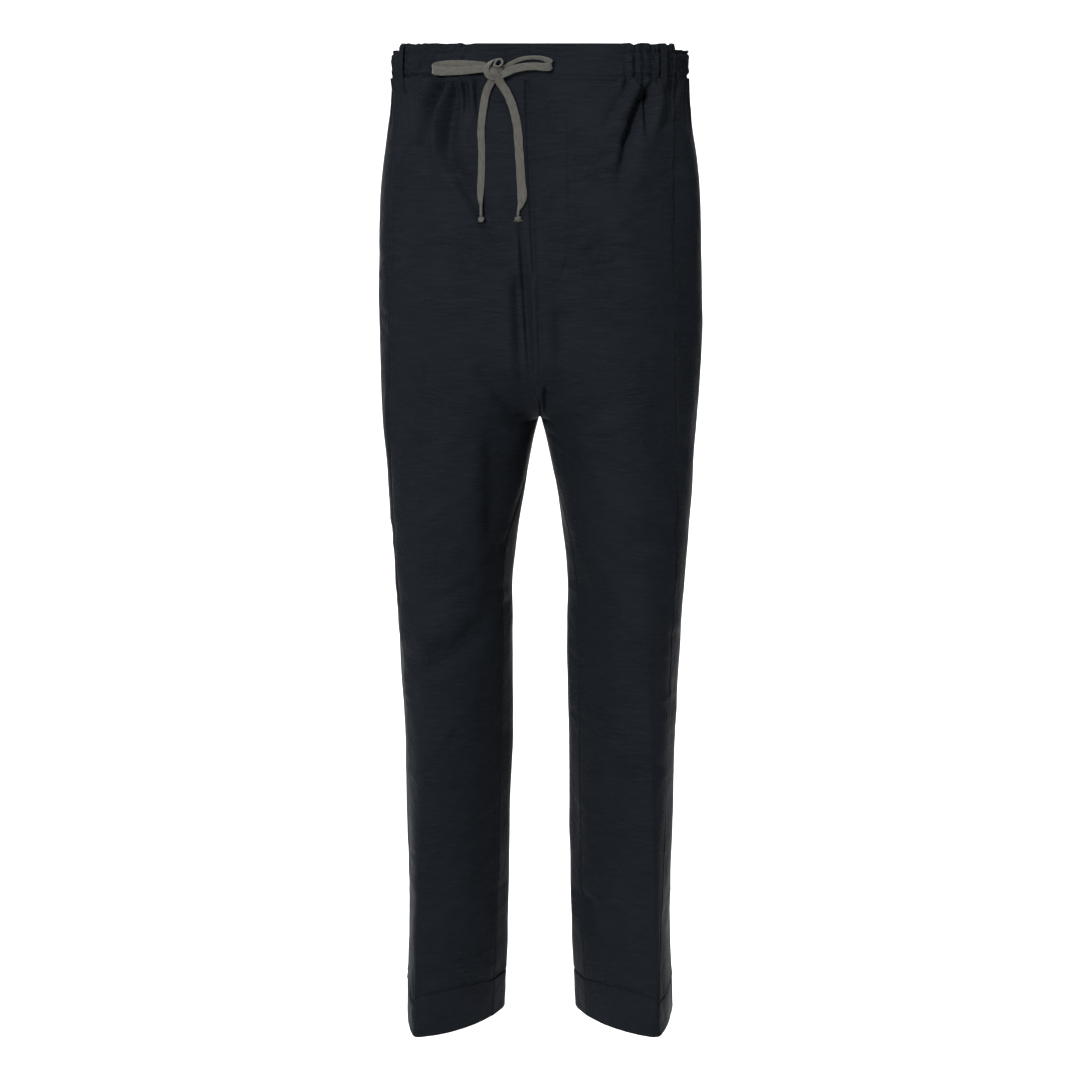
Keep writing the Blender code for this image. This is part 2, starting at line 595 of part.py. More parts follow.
def add_lace(name, route, flat_along, material):
    """A stretch of flat lace along a route, its width lying as near to flat_along as the route lets it."""
    rows = smooth_route(route, LACE_STEP)
    centres, share = rows[:, :3], rows[:, 3:]
    ahead = np.gradient(centres, axis=0)
    ahead /= np.linalg.norm(ahead, axis=1, keepdims=True)
    across = np.array(flat_along) - ahead * (ahead @ np.array(flat_along))[:, None]
    across /= np.linalg.norm(across, axis=1, keepdims=True)
    through = np.cross(ahead, across)
    edge = across * share * LACE_WIDTH / 2
    face = through * LACE_THICK / 2
    corners = [edge + face, face - edge, -edge - face, edge - face]
    rings = np.stack([centres + corner for corner in corners], axis=1)
    mesh = bpy.data.meshes.new(name)
    bm = bmesh.new()
    verts = [[bm.verts.new(point) for point in ring] for ring in rings]
    for near, far in zip(verts, verts[1:]):
        for k in range(4):
            bm.faces.new([near[k], near[k - 1], far[k - 1], far[k]])
    bm.faces.new(verts[0])
    bm.faces.new(verts[-1][::-1])
    bmesh.ops.recalc_face_normals(bm, faces=bm.faces)
    bm.to_mesh(mesh)
    bm.free()
    add_object(name, mesh, material)


def add_drawstring(taupe):
    add_round("drawstring_knot", KNOT_CENTRE, KNOT_SIZE, taupe)
    for name, (centre, size) in END_KNOTS.items():
        add_round(name, centre, size, taupe)
    for name, route in LOOP_ROUTES.items():
        add_lace(name, route, (0.0, 0.0, 1.0), taupe)
    for name, route in TAIL_ROUTES.items():
        add_lace(name, route, (1.0, 0.0, 0.0), taupe)


def add_panels(navy, inside):
    grids = {}
    for side in SIDES:
        for face in ("front", "back"):
            grids[side, face] = panel_grid(side, face)
            add_panel(side, face, grids[side, face], navy)
        add_pocket_bag(side, grids[side, "front"], inside)
    add_fly_underlap(grids["left", "front"], inside)


def main():
    clear_scene()
    navy = cloth_material("navy_cloth", NAVY, 0.42)
    inside = cloth_material("inner_cloth", NAVY_INSIDE, 0.6)
    taupe = cloth_material("taupe_lace", TAUPE, 0.8)
    add_panels(navy, inside)
    for span in BANDS:
        add_waistband(span, navy)
    for side, x in FRONT_LOOPS.items():
        add_belt_loop(f"belt_loop_{side}", side, x, "front", BAND_TOP, navy)
    add_belt_loop("belt_loop_back", "left", 0.0, "back", BACK_BAND_TOP, navy)
    add_drawstring(taupe)


main()
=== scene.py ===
"""The looks of the drawstring trousers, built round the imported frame.

Metres, in the frame's own axes: +X to the wearer's left, the front towards -Y, +Z up. The cloth's form is
worked out from the same named sizes as the solids, at a finer pitch, and then folded, gathered and sewn.
"""

import math

import bmesh
import bpy
import numpy as np
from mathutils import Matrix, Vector


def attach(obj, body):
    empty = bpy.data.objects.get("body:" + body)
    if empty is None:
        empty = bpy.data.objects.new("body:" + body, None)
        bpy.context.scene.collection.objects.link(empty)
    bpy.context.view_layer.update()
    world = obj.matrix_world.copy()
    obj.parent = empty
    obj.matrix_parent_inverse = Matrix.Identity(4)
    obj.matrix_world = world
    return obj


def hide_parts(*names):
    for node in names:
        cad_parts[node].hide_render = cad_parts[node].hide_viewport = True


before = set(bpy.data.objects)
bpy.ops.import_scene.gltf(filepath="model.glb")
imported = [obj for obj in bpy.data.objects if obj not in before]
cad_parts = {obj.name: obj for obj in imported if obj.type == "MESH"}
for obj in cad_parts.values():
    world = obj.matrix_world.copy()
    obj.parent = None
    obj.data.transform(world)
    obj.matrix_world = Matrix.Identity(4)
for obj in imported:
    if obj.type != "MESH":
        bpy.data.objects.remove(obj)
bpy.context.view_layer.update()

# Driving sizes, as in the solids
BAND_LIFT = 0.0010
BAND_TOP = 0.0155
BACK_BAND_TOP = 0.0095
BAND_BOTTOM = -0.0190
HEM_Z = -1.0270
HEM_DEPTH = 0.0380
FORK_Z = -0.3630
FRONT_RISE = 0.070
BACK_RISE = 0.110
FLY_LEAN = 0.0105
FLY_LEAN_END_Z = -0.330
BACK_CROWN = 0.02
BACK_CROWN_MOST = 0.5
BACK_PRESS = 0.4
FORK_REACH = 0.012
FORK_SOFT = 0.25
FORK_EASE = 0.15
INSEAM_TURN = 0.31
INSEAM_TURN_DROP = 0.15
FORK_SIDE_DROP = 0.014
LEG_SPREAD = 1.12
SEAM_GAP = 0.0003

# The tube at each height. out and inn are how far the silhouette stands from the middle, outside and
# between the legs. crown is where the front stands furthest, as a share of the way from inn to the side
# seam. front and back are the depths, widest the depth of the widest line, corner how far the section
# is pressed towards corners, and seam_left and seam_right how far the side seams stand from the middle.
FORM_COLUMNS = ("z", "out", "inn", "crown", "front", "back", "widest", "corner", "seam_left", "seam_right")
FORM = (
    (0.020, 0.1480, 0.0000, 0.385, -0.1050, 0.1040, 0.000, 1.00, 0.1340, 0.1360),
    (-0.030, 0.1495, 0.0000, 0.385, -0.1085, 0.1080, 0.000, 1.00, 0.1345, 0.1385),
    (-0.070, 0.1560, 0.0000, 0.420, -0.1120, 0.1160, 0.000, 1.00, 0.1335, 0.1420),
    (-0.130, 0.1635, 0.0000, 0.470, -0.1160, 0.1270, 0.000, 1.00, 0.1325, 0.1470),
    (-0.200, 0.1665, 0.0000, 0.520, -0.1180, 0.1340, 0.000, 1.00, 0.1345, 0.1510),
    (-0.300, 0.1665, 0.0000, 0.570, -0.1120, 0.1330, 0.004, 1.00, 0.1370, 0.1525),
    (-0.363, 0.1640, 0.0003, 0.600, -0.1040, 0.1260, 0.008, 1.00, 0.1390, 0.1550),
    (-0.385, 0.1628, 0.0060, 0.610, -0.1015, 0.1225, 0.009, 1.00, 0.1400, 0.1545),
    (-0.440, 0.1595, 0.0165, 0.640, -0.0960, 0.1140, 0.012, 1.02, 0.1410, 0.1530),
    (-0.520, 0.1545, 0.0270, 0.690, -0.0870, 0.1040, 0.016, 1.05, 0.1400, 0.1490),
    (-0.620, 0.1485, 0.0292, 0.750, -0.0770, 0.0950, 0.022, 1.10, 0.1365, 0.1440),
    (-0.740, 0.1447, 0.0310, 0.820, -0.0690, 0.0900, 0.029, 1.18, 0.1345, 0.1400),
    (-0.860, 0.1430, 0.0326, 0.900, -0.0610, 0.0870, 0.036, 1.22, 0.1305, 0.1380),
    (-0.950, 0.1437, 0.0350, 0.960, -0.0550, 0.0860, 0.042, 1.26, 0.1275, 0.1355),
    (-1.030, 0.1470, 0.0390, 1.000, -0.0500, 0.0860, 0.048, 1.32, 0.1253, 0.1330),
)

# The folds. Each row is the x and z of its start, its bend and its end, then its height and its width.
# A fold with a negative height is a trough. The large ones follow the solids' creases, with finer ones
# beside them.
FRONT_FOLDS = (
    ((-0.096, -0.019), (-0.118, -0.052), (-0.123, -0.118), -0.0105, 0.0070),
    ((-0.084, -0.020), (-0.107, -0.058), (-0.104, -0.112), 0.0066, 0.0062),
    ((-0.080, -0.020), (-0.097, -0.062), (-0.090, -0.104), -0.0108, 0.0064),
    ((-0.092, -0.091), (-0.064, -0.135), (-0.037, -0.182), -0.0066, 0.0086),
    ((-0.074, -0.020), (-0.071, -0.038), (-0.073, -0.060), -0.0066, 0.0034),
    ((-0.064, -0.019), (-0.062, -0.036), (-0.061, -0.052), -0.0058, 0.0030),
    ((0.096, -0.019), (0.080, -0.052), (0.066, -0.078), 0.0050, 0.0064),
    ((0.104, -0.021), (0.088, -0.064), (0.078, -0.120), -0.0086, 0.0070),
    ((0.112, -0.020), (0.114, -0.046), (0.112, -0.074), 0.0040, 0.0048),
    ((0.108, -0.022), (0.107, -0.050), (0.104, -0.078), -0.0058, 0.0038),
    ((-0.0195, -0.160), (-0.0140, -0.250), (-0.0080, -0.335), -0.0042, 0.0032),
    ((0.044, -0.175), (0.070, -0.210), (0.098, -0.240), -0.0035, 0.014),
    ((-0.022, -0.206), (-0.020, -0.262), (-0.017, -0.335), -0.0060, 0.0085),
    ((-0.007, -0.205), (-0.006, -0.262), (-0.004, -0.330), 0.0030, 0.0042),
    ((0.006, -0.322), (0.006, -0.342), (0.005, -0.362), -0.0040, 0.0045),
    ((0.0268, -0.052), (0.0280, -0.120), (0.0274, -0.182), -0.0005, 0.0018),
    ((0.0274, -0.176), (0.0266, -0.218), (0.0020, -0.223), -0.0005, 0.0018),
    ((0.016, -0.240), (0.023, -0.275), (0.024, -0.306), -0.0038, 0.011),
    ((-0.064, -0.296), (-0.040, -0.330), (-0.018, -0.352), -0.0043, 0.011),
    ((-0.046, -0.365), (-0.048, -0.450), (-0.045, -0.555), -0.0046, 0.015),
    ((-0.136, -0.625), (-0.092, -0.602), (-0.046, -0.573), -0.0049, 0.013),
    ((-0.130, -0.592), (-0.092, -0.572), (-0.050, -0.545), 0.0030, 0.015),
    ((0.042, -0.521), (0.054, -0.622), (0.042, -0.726), -0.0046, 0.015),
    ((0.070, -0.741), (0.100, -0.736), (0.135, -0.724), -0.0038, 0.012),
    ((0.046, -0.880), (0.052, -0.912), (0.062, -0.938), -0.0040, 0.009),
    ((0.085, -0.484), (0.120, -0.480), (0.155, -0.476), -0.0030, 0.013),
)
BACK_FOLDS = (
    ((0.030, -0.018), (0.035, -0.060), (0.031, -0.105), -0.0046, 0.011),
    ((0.072, -0.018), (0.082, -0.060), (0.086, -0.118), -0.0051, 0.011),
    ((0.113, -0.018), (0.120, -0.055), (0.117, -0.092), -0.0040, 0.010),
    ((-0.034, -0.018), (-0.029, -0.066), (-0.036, -0.120), -0.0049, 0.011),
    ((-0.078, -0.018), (-0.086, -0.056), (-0.082, -0.100), -0.0043, 0.011),
    ((-0.110, -0.018), (-0.120, -0.060), (-0.121, -0.110), -0.0046, 0.010),
    ((0.034, -0.374), (0.076, -0.394), (0.126, -0.388), -0.0054, 0.018),
    ((-0.040, -0.382), (-0.080, -0.388), (-0.120, -0.374), -0.0049, 0.020),
    ((0.044, -0.592), (0.090, -0.580), (0.140, -0.600), -0.0057, 0.013),
    ((0.050, -0.640), (0.090, -0.654), (0.134, -0.642), -0.0046, 0.013),
    ((-0.042, -0.606), (-0.088, -0.592), (-0.140, -0.582), -0.0054, 0.013),
    ((-0.052, -0.652), (-0.094, -0.660), (-0.130, -0.636), -0.0040, 0.013),
    ((0.060, -0.802), (0.098, -0.790), (0.136, -0.800), -0.0035, 0.014),
    ((-0.056, -0.776), (-0.098, -0.784), (-0.138, -0.766), -0.0038, 0.014),
    ((-0.070, -0.930), (-0.100, -0.938), (-0.132, -0.922), -0.0030, 0.012),
)
FOLD_SAMPLES = 12
FOLD_FADE = 0.03
FOLD_START = 0.005
FOLD_LEAN = 0.30
FOLD_SHOULDER = 0.28
FOLD_SHOULDER_PLACE = 1.9
FOLD_REACH = 4.0
# How high a fold starts and ends, as shares, and how soon it gains and loses its height
FOLD_HEAD, FOLD_HEAD_PACE = 0.25, 5.0
FOLD_TAIL, FOLD_TAIL_PACE = 0.15, 2.2
# How much the small creases turn and bow at random, and how often one is a trough and a ridge
CREASE_TURN = 0.32
CREASE_BOW = 0.18
CREASE_ODDS = (0.6, 0.4)

# The waistband: for each piece its node, its top, how far from the fly it is plain, and its gathers' phase
BANDS = {
    "left": ("waistband_front_left", BAND_TOP, 0.087, 1.3),
    "right": ("waistband_front_right", BAND_TOP, 0.051, 2.9),
    "back": ("waistband_back", BACK_BAND_TOP, 0.0, 4.4),
}
GATHER_PITCH = 0.0098
GATHER_HEIGHT = 0.0020
# How fast the gathers' pitch drifts and by how much, and the same for their height
GATHER_DRIFTS = ((71.0, 0.9), (163.0, 0.6))
GATHER_SWELL = (113.0, 0.22)

# The drawstring. Each row of a route is x, y, z and the share of the full width there.
LACE_WIDTH = 0.0082
LACE_THICK = 0.0014
KNOT_CENTRE = (-0.0446, -0.1146, -0.0088)
LOOP_ROUTES = {
    "drawstring_loop_right": (
        (-0.0531, -0.1138, -0.0062, 1.0),
        (-0.0600, -0.1120, -0.0052, 1.0),
        (-0.0700, -0.1095, -0.0042, 1.0),
        (-0.0800, -0.1069, -0.0040, 1.0),
        (-0.0900, -0.1039, -0.0043, 1.0),
        (-0.0980, -0.1014, -0.0050, 1.0),
        (-0.1028, -0.1012, -0.0064, 1.0),
        (-0.1046, -0.1030, -0.0080, 1.0),
        (-0.1030, -0.1050, -0.0096, 1.0),
        (-0.0980, -0.1068, -0.0104, 1.0),
        (-0.0900, -0.1090, -0.0106, 0.95),
        (-0.0800, -0.1117, -0.0104, 0.9),
        (-0.0700, -0.1141, -0.0096, 0.9),
        (-0.0610, -0.1160, -0.0086, 0.85),
        (-0.0529, -0.1174, -0.0078, 0.8),
    ),
    "drawstring_loop_left": (
        (-0.0354, -0.1122, -0.0080, 0.60),
        (-0.0300, -0.1110, -0.0042, 0.52),
        (-0.0195, -0.1108, 0.0008, 0.48),
        (-0.0050, -0.1112, 0.0026, 0.48),
        (0.0045, -0.1118, 0.0012, 0.55),
        (0.0095, -0.1130, -0.0014, 0.75),
        (0.0110, -0.1150, -0.0040, 0.92),
        (0.0090, -0.1168, -0.0060, 0.95),
        (0.0040, -0.1176, -0.0064, 0.92),
        (-0.0050, -0.1180, -0.0058, 0.88),
        (-0.0195, -0.1180, -0.0070, 0.90),
        (-0.0290, -0.1178, -0.0098, 0.92),
        (-0.0355, -0.1176, -0.0130, 0.92),
        (-0.0405, -0.1162, -0.0146, 0.85),
    ),
}
TAIL_ROUTES = {
    "drawstring_tail_right": (
        (-0.0470, -0.1142, -0.0195, 0.9),
        (-0.0516, -0.1122, -0.0285, 0.9),
        (-0.0556, -0.1128, -0.0477, 0.9),
        (-0.0576, -0.1144, -0.0670, 0.85),
        (-0.0570, -0.1158, -0.0863, 0.8),
        (-0.0579, -0.1172, -0.1202, 0.8),
        (-0.0585, -0.1176, -0.1320, 0.7),
        (-0.0580, -0.1180, -0.1400, 0.35),
        (-0.0579, -0.1184, -0.1503, 0.3),
    ),
    "drawstring_tail_left": (
        (-0.0405, -0.1157, -0.0186, 1.0),
        (-0.0312, -0.1146, -0.0333, 1.0),
        (-0.0234, -0.1140, -0.0573, 1.0),
        (-0.0205, -0.1158, -0.0863, 1.0),
        (-0.0186, -0.1176, -0.1154, 1.0),
        (-0.0178, -0.1189, -0.1340, 1.0),
        (-0.0194, -0.1195, -0.1405, 0.6),
        (-0.0212, -0.1200, -0.1450, 0.3),
        (-0.0216, -0.1203, -0.1501, 0.3),
    ),
}
SIDES = {"left": 1, "right": -1}


# The camera, level with the waistband and looking a little down
CAMERA_LENS = 83.68
CAMERA_SENSOR = 36.0
CAMERA_PLACE = (0.0, -2.6, -0.023)
CAMERA_AIM = (0.0, 0.0, -0.495)


def add_to_scene(name, data):
    made = bpy.data.objects.new(name, data)
    bpy.context.scene.collection.objects.link(made)
    return made


def look_at(item, place, aim):
    """Stands a camera or a light at a place and turns it to a point."""
    item.location = place
    item.rotation_euler = (Vector(aim) - Vector(place)).to_track_quat("-Z", "Y").to_euler()


def add_camera():
    data = bpy.data.cameras.new("camera")
    data.lens, data.sensor_width = CAMERA_LENS, CAMERA_SENSOR
    camera = add_to_scene("camera", data)
    look_at(camera, CAMERA_PLACE, CAMERA_AIM)
    bpy.context.scene.camera = camera


# Small helpers
NOISE_TABLE = 64


def smooth_step(value):
    held = np.clip(value, 0.0, 1.0)
    return held * held * (3.0 - 2.0 * held)


def lengths_along(points):
    return np.concatenate([[0.0], np.cumsum(np.linalg.norm(np.diff(points, axis=0), axis=1))])


def between(places, values, wanted):
    """The points at the wanted places, on straight lines between points that lie at places."""
    return np.stack([np.interp(wanted, places, values[:, k]) for k in range(3)], axis=-1)


def turned_edge(edge, out, thick, rows, up):
    """Rows that turn an edge over by half a circle, up or down, to lie one cloth further in."""
    turned = []
    for angle in np.linspace(0.0, math.pi, rows + 1)[1:]:
        rise = np.array([0.0, 0.0, up * thick / 2 * math.sin(angle)])
        turned.append(edge + out * (thick / 2) * (math.cos(angle) - 1.0) + rise)
    return turned


def unit(vectors):
    return vectors / np.maximum(np.linalg.norm(vectors, axis=-1, keepdims=True), 1e-12)


def bell(distance, width):
    return np.exp(-((distance / width) ** 2))


def soft_noise(x, y, seed):
    """Smooth noise from -1 to 1 with one value for each whole step of x and y."""
    size = NOISE_TABLE
    table = np.random.default_rng(seed).uniform(-1.0, 1.0, (size, size))
    i, j = np.floor(x).astype(int), np.floor(y).astype(int)
    s, t = smooth_step(x - i), smooth_step(y - j)
    near = table[i % size, j % size] * (1 - s) + table[(i + 1) % size, j % size] * s
    far = table[i % size, (j + 1) % size] * (1 - s) + table[(i + 1) % size, (j + 1) % size] * s
    return near * (1 - t) + far * t


def line_noise(x, seed, row=0.0):
    """Smooth noise along a line, taken at one row of y."""
    return soft_noise(x, np.full_like(x, row), seed)


def full_turn(count):
    return np.linspace(0.0, 2 * math.pi, count, endpoint=False)


def smooth_curve(rows, places, wanted):
    """Values at the wanted places, on a smooth curve through rows of values at their places."""
    slopes = np.gradient(rows, places, axis=0)
    i = np.clip(np.searchsorted(places, wanted, side="right") - 1, 0, len(places) - 2)
    span = (places[i + 1] - places[i])[..., None]
    t = (wanted - places[i])[..., None] / span
    start, end = 2 * t**3 - 3 * t**2 + 1, 3 * t**2 - 2 * t**3
    leave, arrive = (t**3 - 2 * t**2 + t) * span, (t**3 - t**2) * span
    return start * rows[i] + end * rows[i + 1] + leave * slopes[i] + arrive * slopes[i + 1]


# Materials


def new_material(name):
    material = bpy.data.materials.new(name)
    material.use_nodes = True
    tree = material.node_tree
    return material, tree, tree.nodes["Principled BSDF"]


def set_inputs(node, **values):
    """Sets a node's inputs. A space in an input's name is written as _ here."""
    for socket, value in values.items():
        node.inputs[socket.replace("_", " ")].default_value = value


def add_node(tree, kind, **values):
    made = tree.nodes.new(kind)
    set_inputs(made, **values)
    return made


def link(tree, source, output, target, socket):
    tree.links.new(source.outputs[output], target.inputs[socket])


def stretched_noise(tree, attribute, scale, detail, seed=0.0):
    """Noise laid on the cloth's own directions, stretched by scale along each."""
    mapping = add_node(tree, "ShaderNodeMapping", Scale=scale, Location=(seed, seed, seed))
    link(tree, attribute, "Vector", mapping, "Vector")
    noise = add_node(tree, "ShaderNodeTexNoise", Scale=1.0, Detail=detail, Roughness=0.6)
    link(tree, mapping, "Vector", noise, "Vector")
    return noise


def weave_wave(tree, attribute, pitch, axis):
    """Fine threads at a pitch, across one of the cloth's directions."""
    scale = math.pi / (10.0 * pitch)
    wave = add_node(tree, "ShaderNodeTexWave", Scale=scale, Distortion=1.2, Detail=1.0)
    wave.bands_direction = axis
    link(tree, attribute, "Vector", wave, "Vector")
    return wave


def colour_ramp(tree, shader, source, stops):
    """Colours that follow a noise, and give a shader its colour where one is named."""
    ramp = add_node(tree, "ShaderNodeValToRGB")
    for element, (place, colour) in zip(ramp.color_ramp.elements, stops):
        element.position = place
        element.color = colour
    link(tree, source, "Fac", ramp, "Fac")
    if shader is not None:
        link(tree, ramp, "Color", shader, "Base Color")
    return ramp


def value_range(tree, source, output, low, high, to_low, to_high):
    ranged = add_node(tree, "ShaderNodeMapRange", From_Min=low, From_Max=high, To_Min=to_low, To_Max=to_high)
    link(tree, source, output, ranged, "Value")
    return ranged


def math_node(tree, operation, *inputs):
    """A sum on each value: an input is a number, or a node and the name of its output."""
    made = add_node(tree, "ShaderNodeMath")
    made.operation = operation
    for k, value in enumerate(inputs):
        if isinstance(value, tuple):
            link(tree, *value, made, k)
        else:
            made.inputs[k].default_value = value
    return made


def add_bumps(tree, shader, rows):
    """Bumps laid one over the other: each row is a node, its output, a strength and a height in metres."""
    before = None
    for source, output, strength, height in rows:
        made = add_node(tree, "ShaderNodeBump", Strength=strength, Distance=height)
        link(tree, source, output, made, "Height")
        if before is not None:
            link(tree, before, "Normal", made, "Normal")
        before = made
    link(tree, before, "Normal", shader, "Normal")


def cloth_directions(tree):
    attribute = add_node(tree, "ShaderNodeAttribute")
    attribute.attribute_name = "cloth"
    return attribute


# The cloth's noises: how many there are in a metre across and along the cloth, the detail and the seed
CLOTH_NOISES = {
    "slub": ((34.0, 1000.0, 1.0), 4.0, 0.0),
    "thread": ((900.0, 60.0, 1.0), 2.0, 4.0),
    "crease": ((75.0, 260.0, 1.0), 5.0, 9.0),
    "line": ((38.0, 170.0, 1.0), 3.0, 23.0),
    "patch": ((14.0, 14.0, 1.0), 2.0, 17.0),
}
WEFT_PITCH = 0.00046
CREASE_HEIGHT = 0.0022
LINE_HEIGHT = 0.0007
SLUB_HEIGHT = 0.0003
THREAD_HEIGHT = 0.00012
WEFT_HEIGHT = 0.00006
CLOTH_SHINE = 0.003
SHEEN_TINT = (0.55, 0.68, 0.85, 1.0)


def cloth_material(name, dark, light, roughness, sheen, crinkle):
    """Slubbed, finely crinkled cloth. The slubs run across and the crinkles lie mostly across."""
    material, tree, shader = new_material(name)
    cloth = cloth_directions(tree)
    noise = {kind: stretched_noise(tree, cloth, *values) for kind, values in CLOTH_NOISES.items()}
    weft = weave_wave(tree, cloth, WEFT_PITCH, "Y")
    colour_ramp(tree, shader, noise["slub"], ((0.30, dark), (0.70, light)))
    rough = value_range(tree, noise["slub"], "Fac", 0.3, 0.7, roughness - 0.05, roughness + 0.06)
    link(tree, rough, "Result", shader, "Roughness")
    spread = value_range(tree, noise["patch"], "Fac", 0.38, 0.62, 0.15, 1.0)
    soft = math_node(tree, "MULTIPLY", (noise["crease"], "Fac"), (spread, "Result"))
    offset = math_node(tree, "SUBTRACT", (noise["line"], "Fac"), 0.5)
    middle = math_node(tree, "ABSOLUTE", (offset, "Value"))
    hollow = value_range(tree, middle, "Value", 0.0, 0.05, 0.0, 1.0)
    sharp = math_node(tree, "MULTIPLY", (hollow, "Result"), (spread, "Result"))
    add_bumps(tree, shader, (
        (soft, "Value", 1.0, CREASE_HEIGHT * crinkle),
        (sharp, "Value", 0.8, LINE_HEIGHT * crinkle),
        (noise["slub"], "Fac", 0.5, SLUB_HEIGHT),
        (noise["thread"], "Fac", 0.4, THREAD_HEIGHT),
        (weft, "Fac", 0.25, WEFT_HEIGHT),
    ))
    set_inputs(shader, Specular_IOR_Level=CLOTH_SHINE, Sheen_Weight=sheen, Sheen_Roughness=0.45)
    set_inputs(shader, Sheen_Tint=SHEEN_TINT)
    return material


RIB_PITCH = 0.00115
PICK_PITCH = 0.0009
# The colour that the grooves between the lace's ribs are darkened towards: painted shade, not a dye of the
# lace
GROOVE_SHADE_TINT = (0.45, 0.43, 0.40, 1.0)


def lace_material(name, dark, light):
    """Flat woven lace: ribs along it, and finer picks across them, with painted shade darkening the grooves
    between the ribs.
    """
    material, tree, shader = new_material(name)
    cloth = cloth_directions(tree)
    ribs = weave_wave(tree, cloth, RIB_PITCH, "Y")
    picks = weave_wave(tree, cloth, PICK_PITCH, "DIAGONAL")
    worn = stretched_noise(tree, cloth, (160.0, 420.0, 1.0), 4.0)
    shade = colour_ramp(tree, None, worn, ((0.28, dark), (0.70, light)))
    # Painted shade: the lace's colour is darkened where the ribs' wave is low, in the grooves between the
    # ribs
    painted_groove_shade = add_node(tree, "ShaderNodeMix")
    painted_groove_shade.data_type = "RGBA"
    painted_groove_shade.blend_type = "MULTIPLY"
    level = value_range(tree, ribs, "Fac", 0.0, 1.0, 0.55, 0.0)
    link(tree, level, "Result", painted_groove_shade, "Factor")
    link(tree, shade, "Color", painted_groove_shade, "A")
    set_inputs(painted_groove_shade, B=GROOVE_SHADE_TINT)
    link(tree, painted_groove_shade, "Result", shader, "Base Color")
    add_bumps(tree, shader, (
        (ribs, "Fac", 0.7, 0.00030),
        (picks, "Fac", 0.5, 0.00014),
        (worn, "Fac", 0.3, 0.00020),
    ))
    set_inputs(shader, Roughness=0.82, Sheen_Weight=0.25, Sheen_Roughness=0.5)
    return material


def plain_noise(tree, scale):
    """Even noise in the object's own space."""
    place = add_node(tree, "ShaderNodeTexCoord")
    noise = add_node(tree, "ShaderNodeTexNoise", Scale=scale)
    link(tree, place, "Object", noise, "Vector")
    return noise


def thread_material(name, colour):
    material, tree, shader = new_material(name)
    twist = plain_noise(tree, 2200.0)
    lighter = tuple(1.5 * share for share in colour[:3]) + (1.0,)
    colour_ramp(tree, shader, twist, ((0.35, colour), (0.65, lighter)))
    add_bumps(tree, shader, ((twist, "Fac", 0.5, 0.0001),))
    set_inputs(shader, Roughness=0.6, Specular_IOR_Level=0.05)
    return material


MATERIALS = {
    "cloth": cloth_material(
        "navy_cloth", (0.0070, 0.0086, 0.0112, 1.0), (0.0117, 0.0140, 0.0178, 1.0), 0.40, 0.008, 1.0
    ),
    "inner": cloth_material(
        "inner_cloth", (0.0050, 0.0062, 0.0080, 1.0), (0.0090, 0.0108, 0.0138, 1.0), 0.62, 0.05, 0.5
    ),
    "lace": lace_material("taupe_lace", (0.036, 0.035, 0.029, 1.0), (0.078, 0.075, 0.063, 1.0)),
    # The thread is darker than the cloth: partly its own navy colour, partly painted shade standing for the
    # dark line along the stitches
    "thread": thread_material("navy_thread_and_stitch_shade", (0.0045, 0.0058, 0.0080, 1.0)),
    "lace_thread": thread_material("taupe_thread", (0.058, 0.055, 0.046, 1.0)),
}


# Meshes


SAME_PLACE = 0.000002


def clean_mesh(mesh, closed):
    """Joins points that lie in one place, and turns the faces of a closed form out."""
    work = bmesh.new()
    work.from_mesh(mesh)
    bmesh.ops.remove_doubles(work, verts=work.verts, dist=SAME_PLACE)
    if closed:
        bmesh.ops.recalc_face_normals(work, faces=work.faces)
    work.to_mesh(mesh)
    work.free()


def add_mesh(name, points, faces, directions, material, slot=None, node=None, closed=True):
    """A smooth mesh. With a slot it rides the root, and with a node it stands for that node."""
    mesh = bpy.data.meshes.new(name)
    mesh.from_pydata(points.tolist(), [], [list(face) for face in faces])
    mesh.update()
    if directions is not None:
        layer = mesh.attributes.new("cloth", "FLOAT_VECTOR", "POINT")
        layer.data.foreach_set("vector", np.ascontiguousarray(directions, np.float32).ravel())
    clean_mesh(mesh, closed)
    mesh.polygons.foreach_set("use_smooth", np.ones(len(mesh.polygons), bool))
    mesh.materials.append(MATERIALS[material])
    made = add_to_scene(name, mesh)
    if slot is not None:
        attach(made, "root")
    if node is not None:
        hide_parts(node)
    return made


def grid_faces(rows, columns, closed=False):
    last = columns if closed else columns - 1
    r, c = np.meshgrid(np.arange(rows - 1), np.arange(last), indexing="ij")
    near, far = r * columns + c, r * columns + (c + 1) % columns
    return np.stack([near, near + columns, far + columns, far], axis=-1).reshape(-1, 4)


def add_grid(name, node, grid, turned):
    """A piece of the outer cloth through a grid of points."""
    faces = grid_faces(*grid.shape[:2])
    if turned:
        faces = faces[:, ::-1]
    directions = grid_directions(grid).reshape(-1, 3)
    return add_mesh(name, grid.reshape(-1, 3), faces, directions, "cloth", "cloth", node, closed=False)


def grid_directions(grid):
    """How far along and up the cloth each point of a grid lies, in metres."""
    across = np.zeros(grid.shape[:2])
    across[:, 1:] = np.cumsum(np.linalg.norm(np.diff(grid, axis=1), axis=2), axis=1)
    across -= across[:, across.shape[1] // 2][:, None]
    up = np.zeros(grid.shape[:2])
    up[1:] = np.cumsum(np.linalg.norm(np.diff(grid, axis=0), axis=2).mean(axis=1))[:, None]
    return np.stack([across, up, np.zeros_like(up)], axis=-1)


# The cloth's form


def form_at(z):
    """The values of FORM at each height, on a smooth curve through its rows."""
    rows = np.array(FORM)[::-1]
    return dict(zip(FORM_COLUMNS, np.moveaxis(smooth_curve(rows, rows[:, 0], z), -1, 0)))


def inner_edge(form):
    return np.where(form["z"] < FORK_Z, np.maximum(form["inn"], SEAM_GAP / 2), SEAM_GAP / 2)


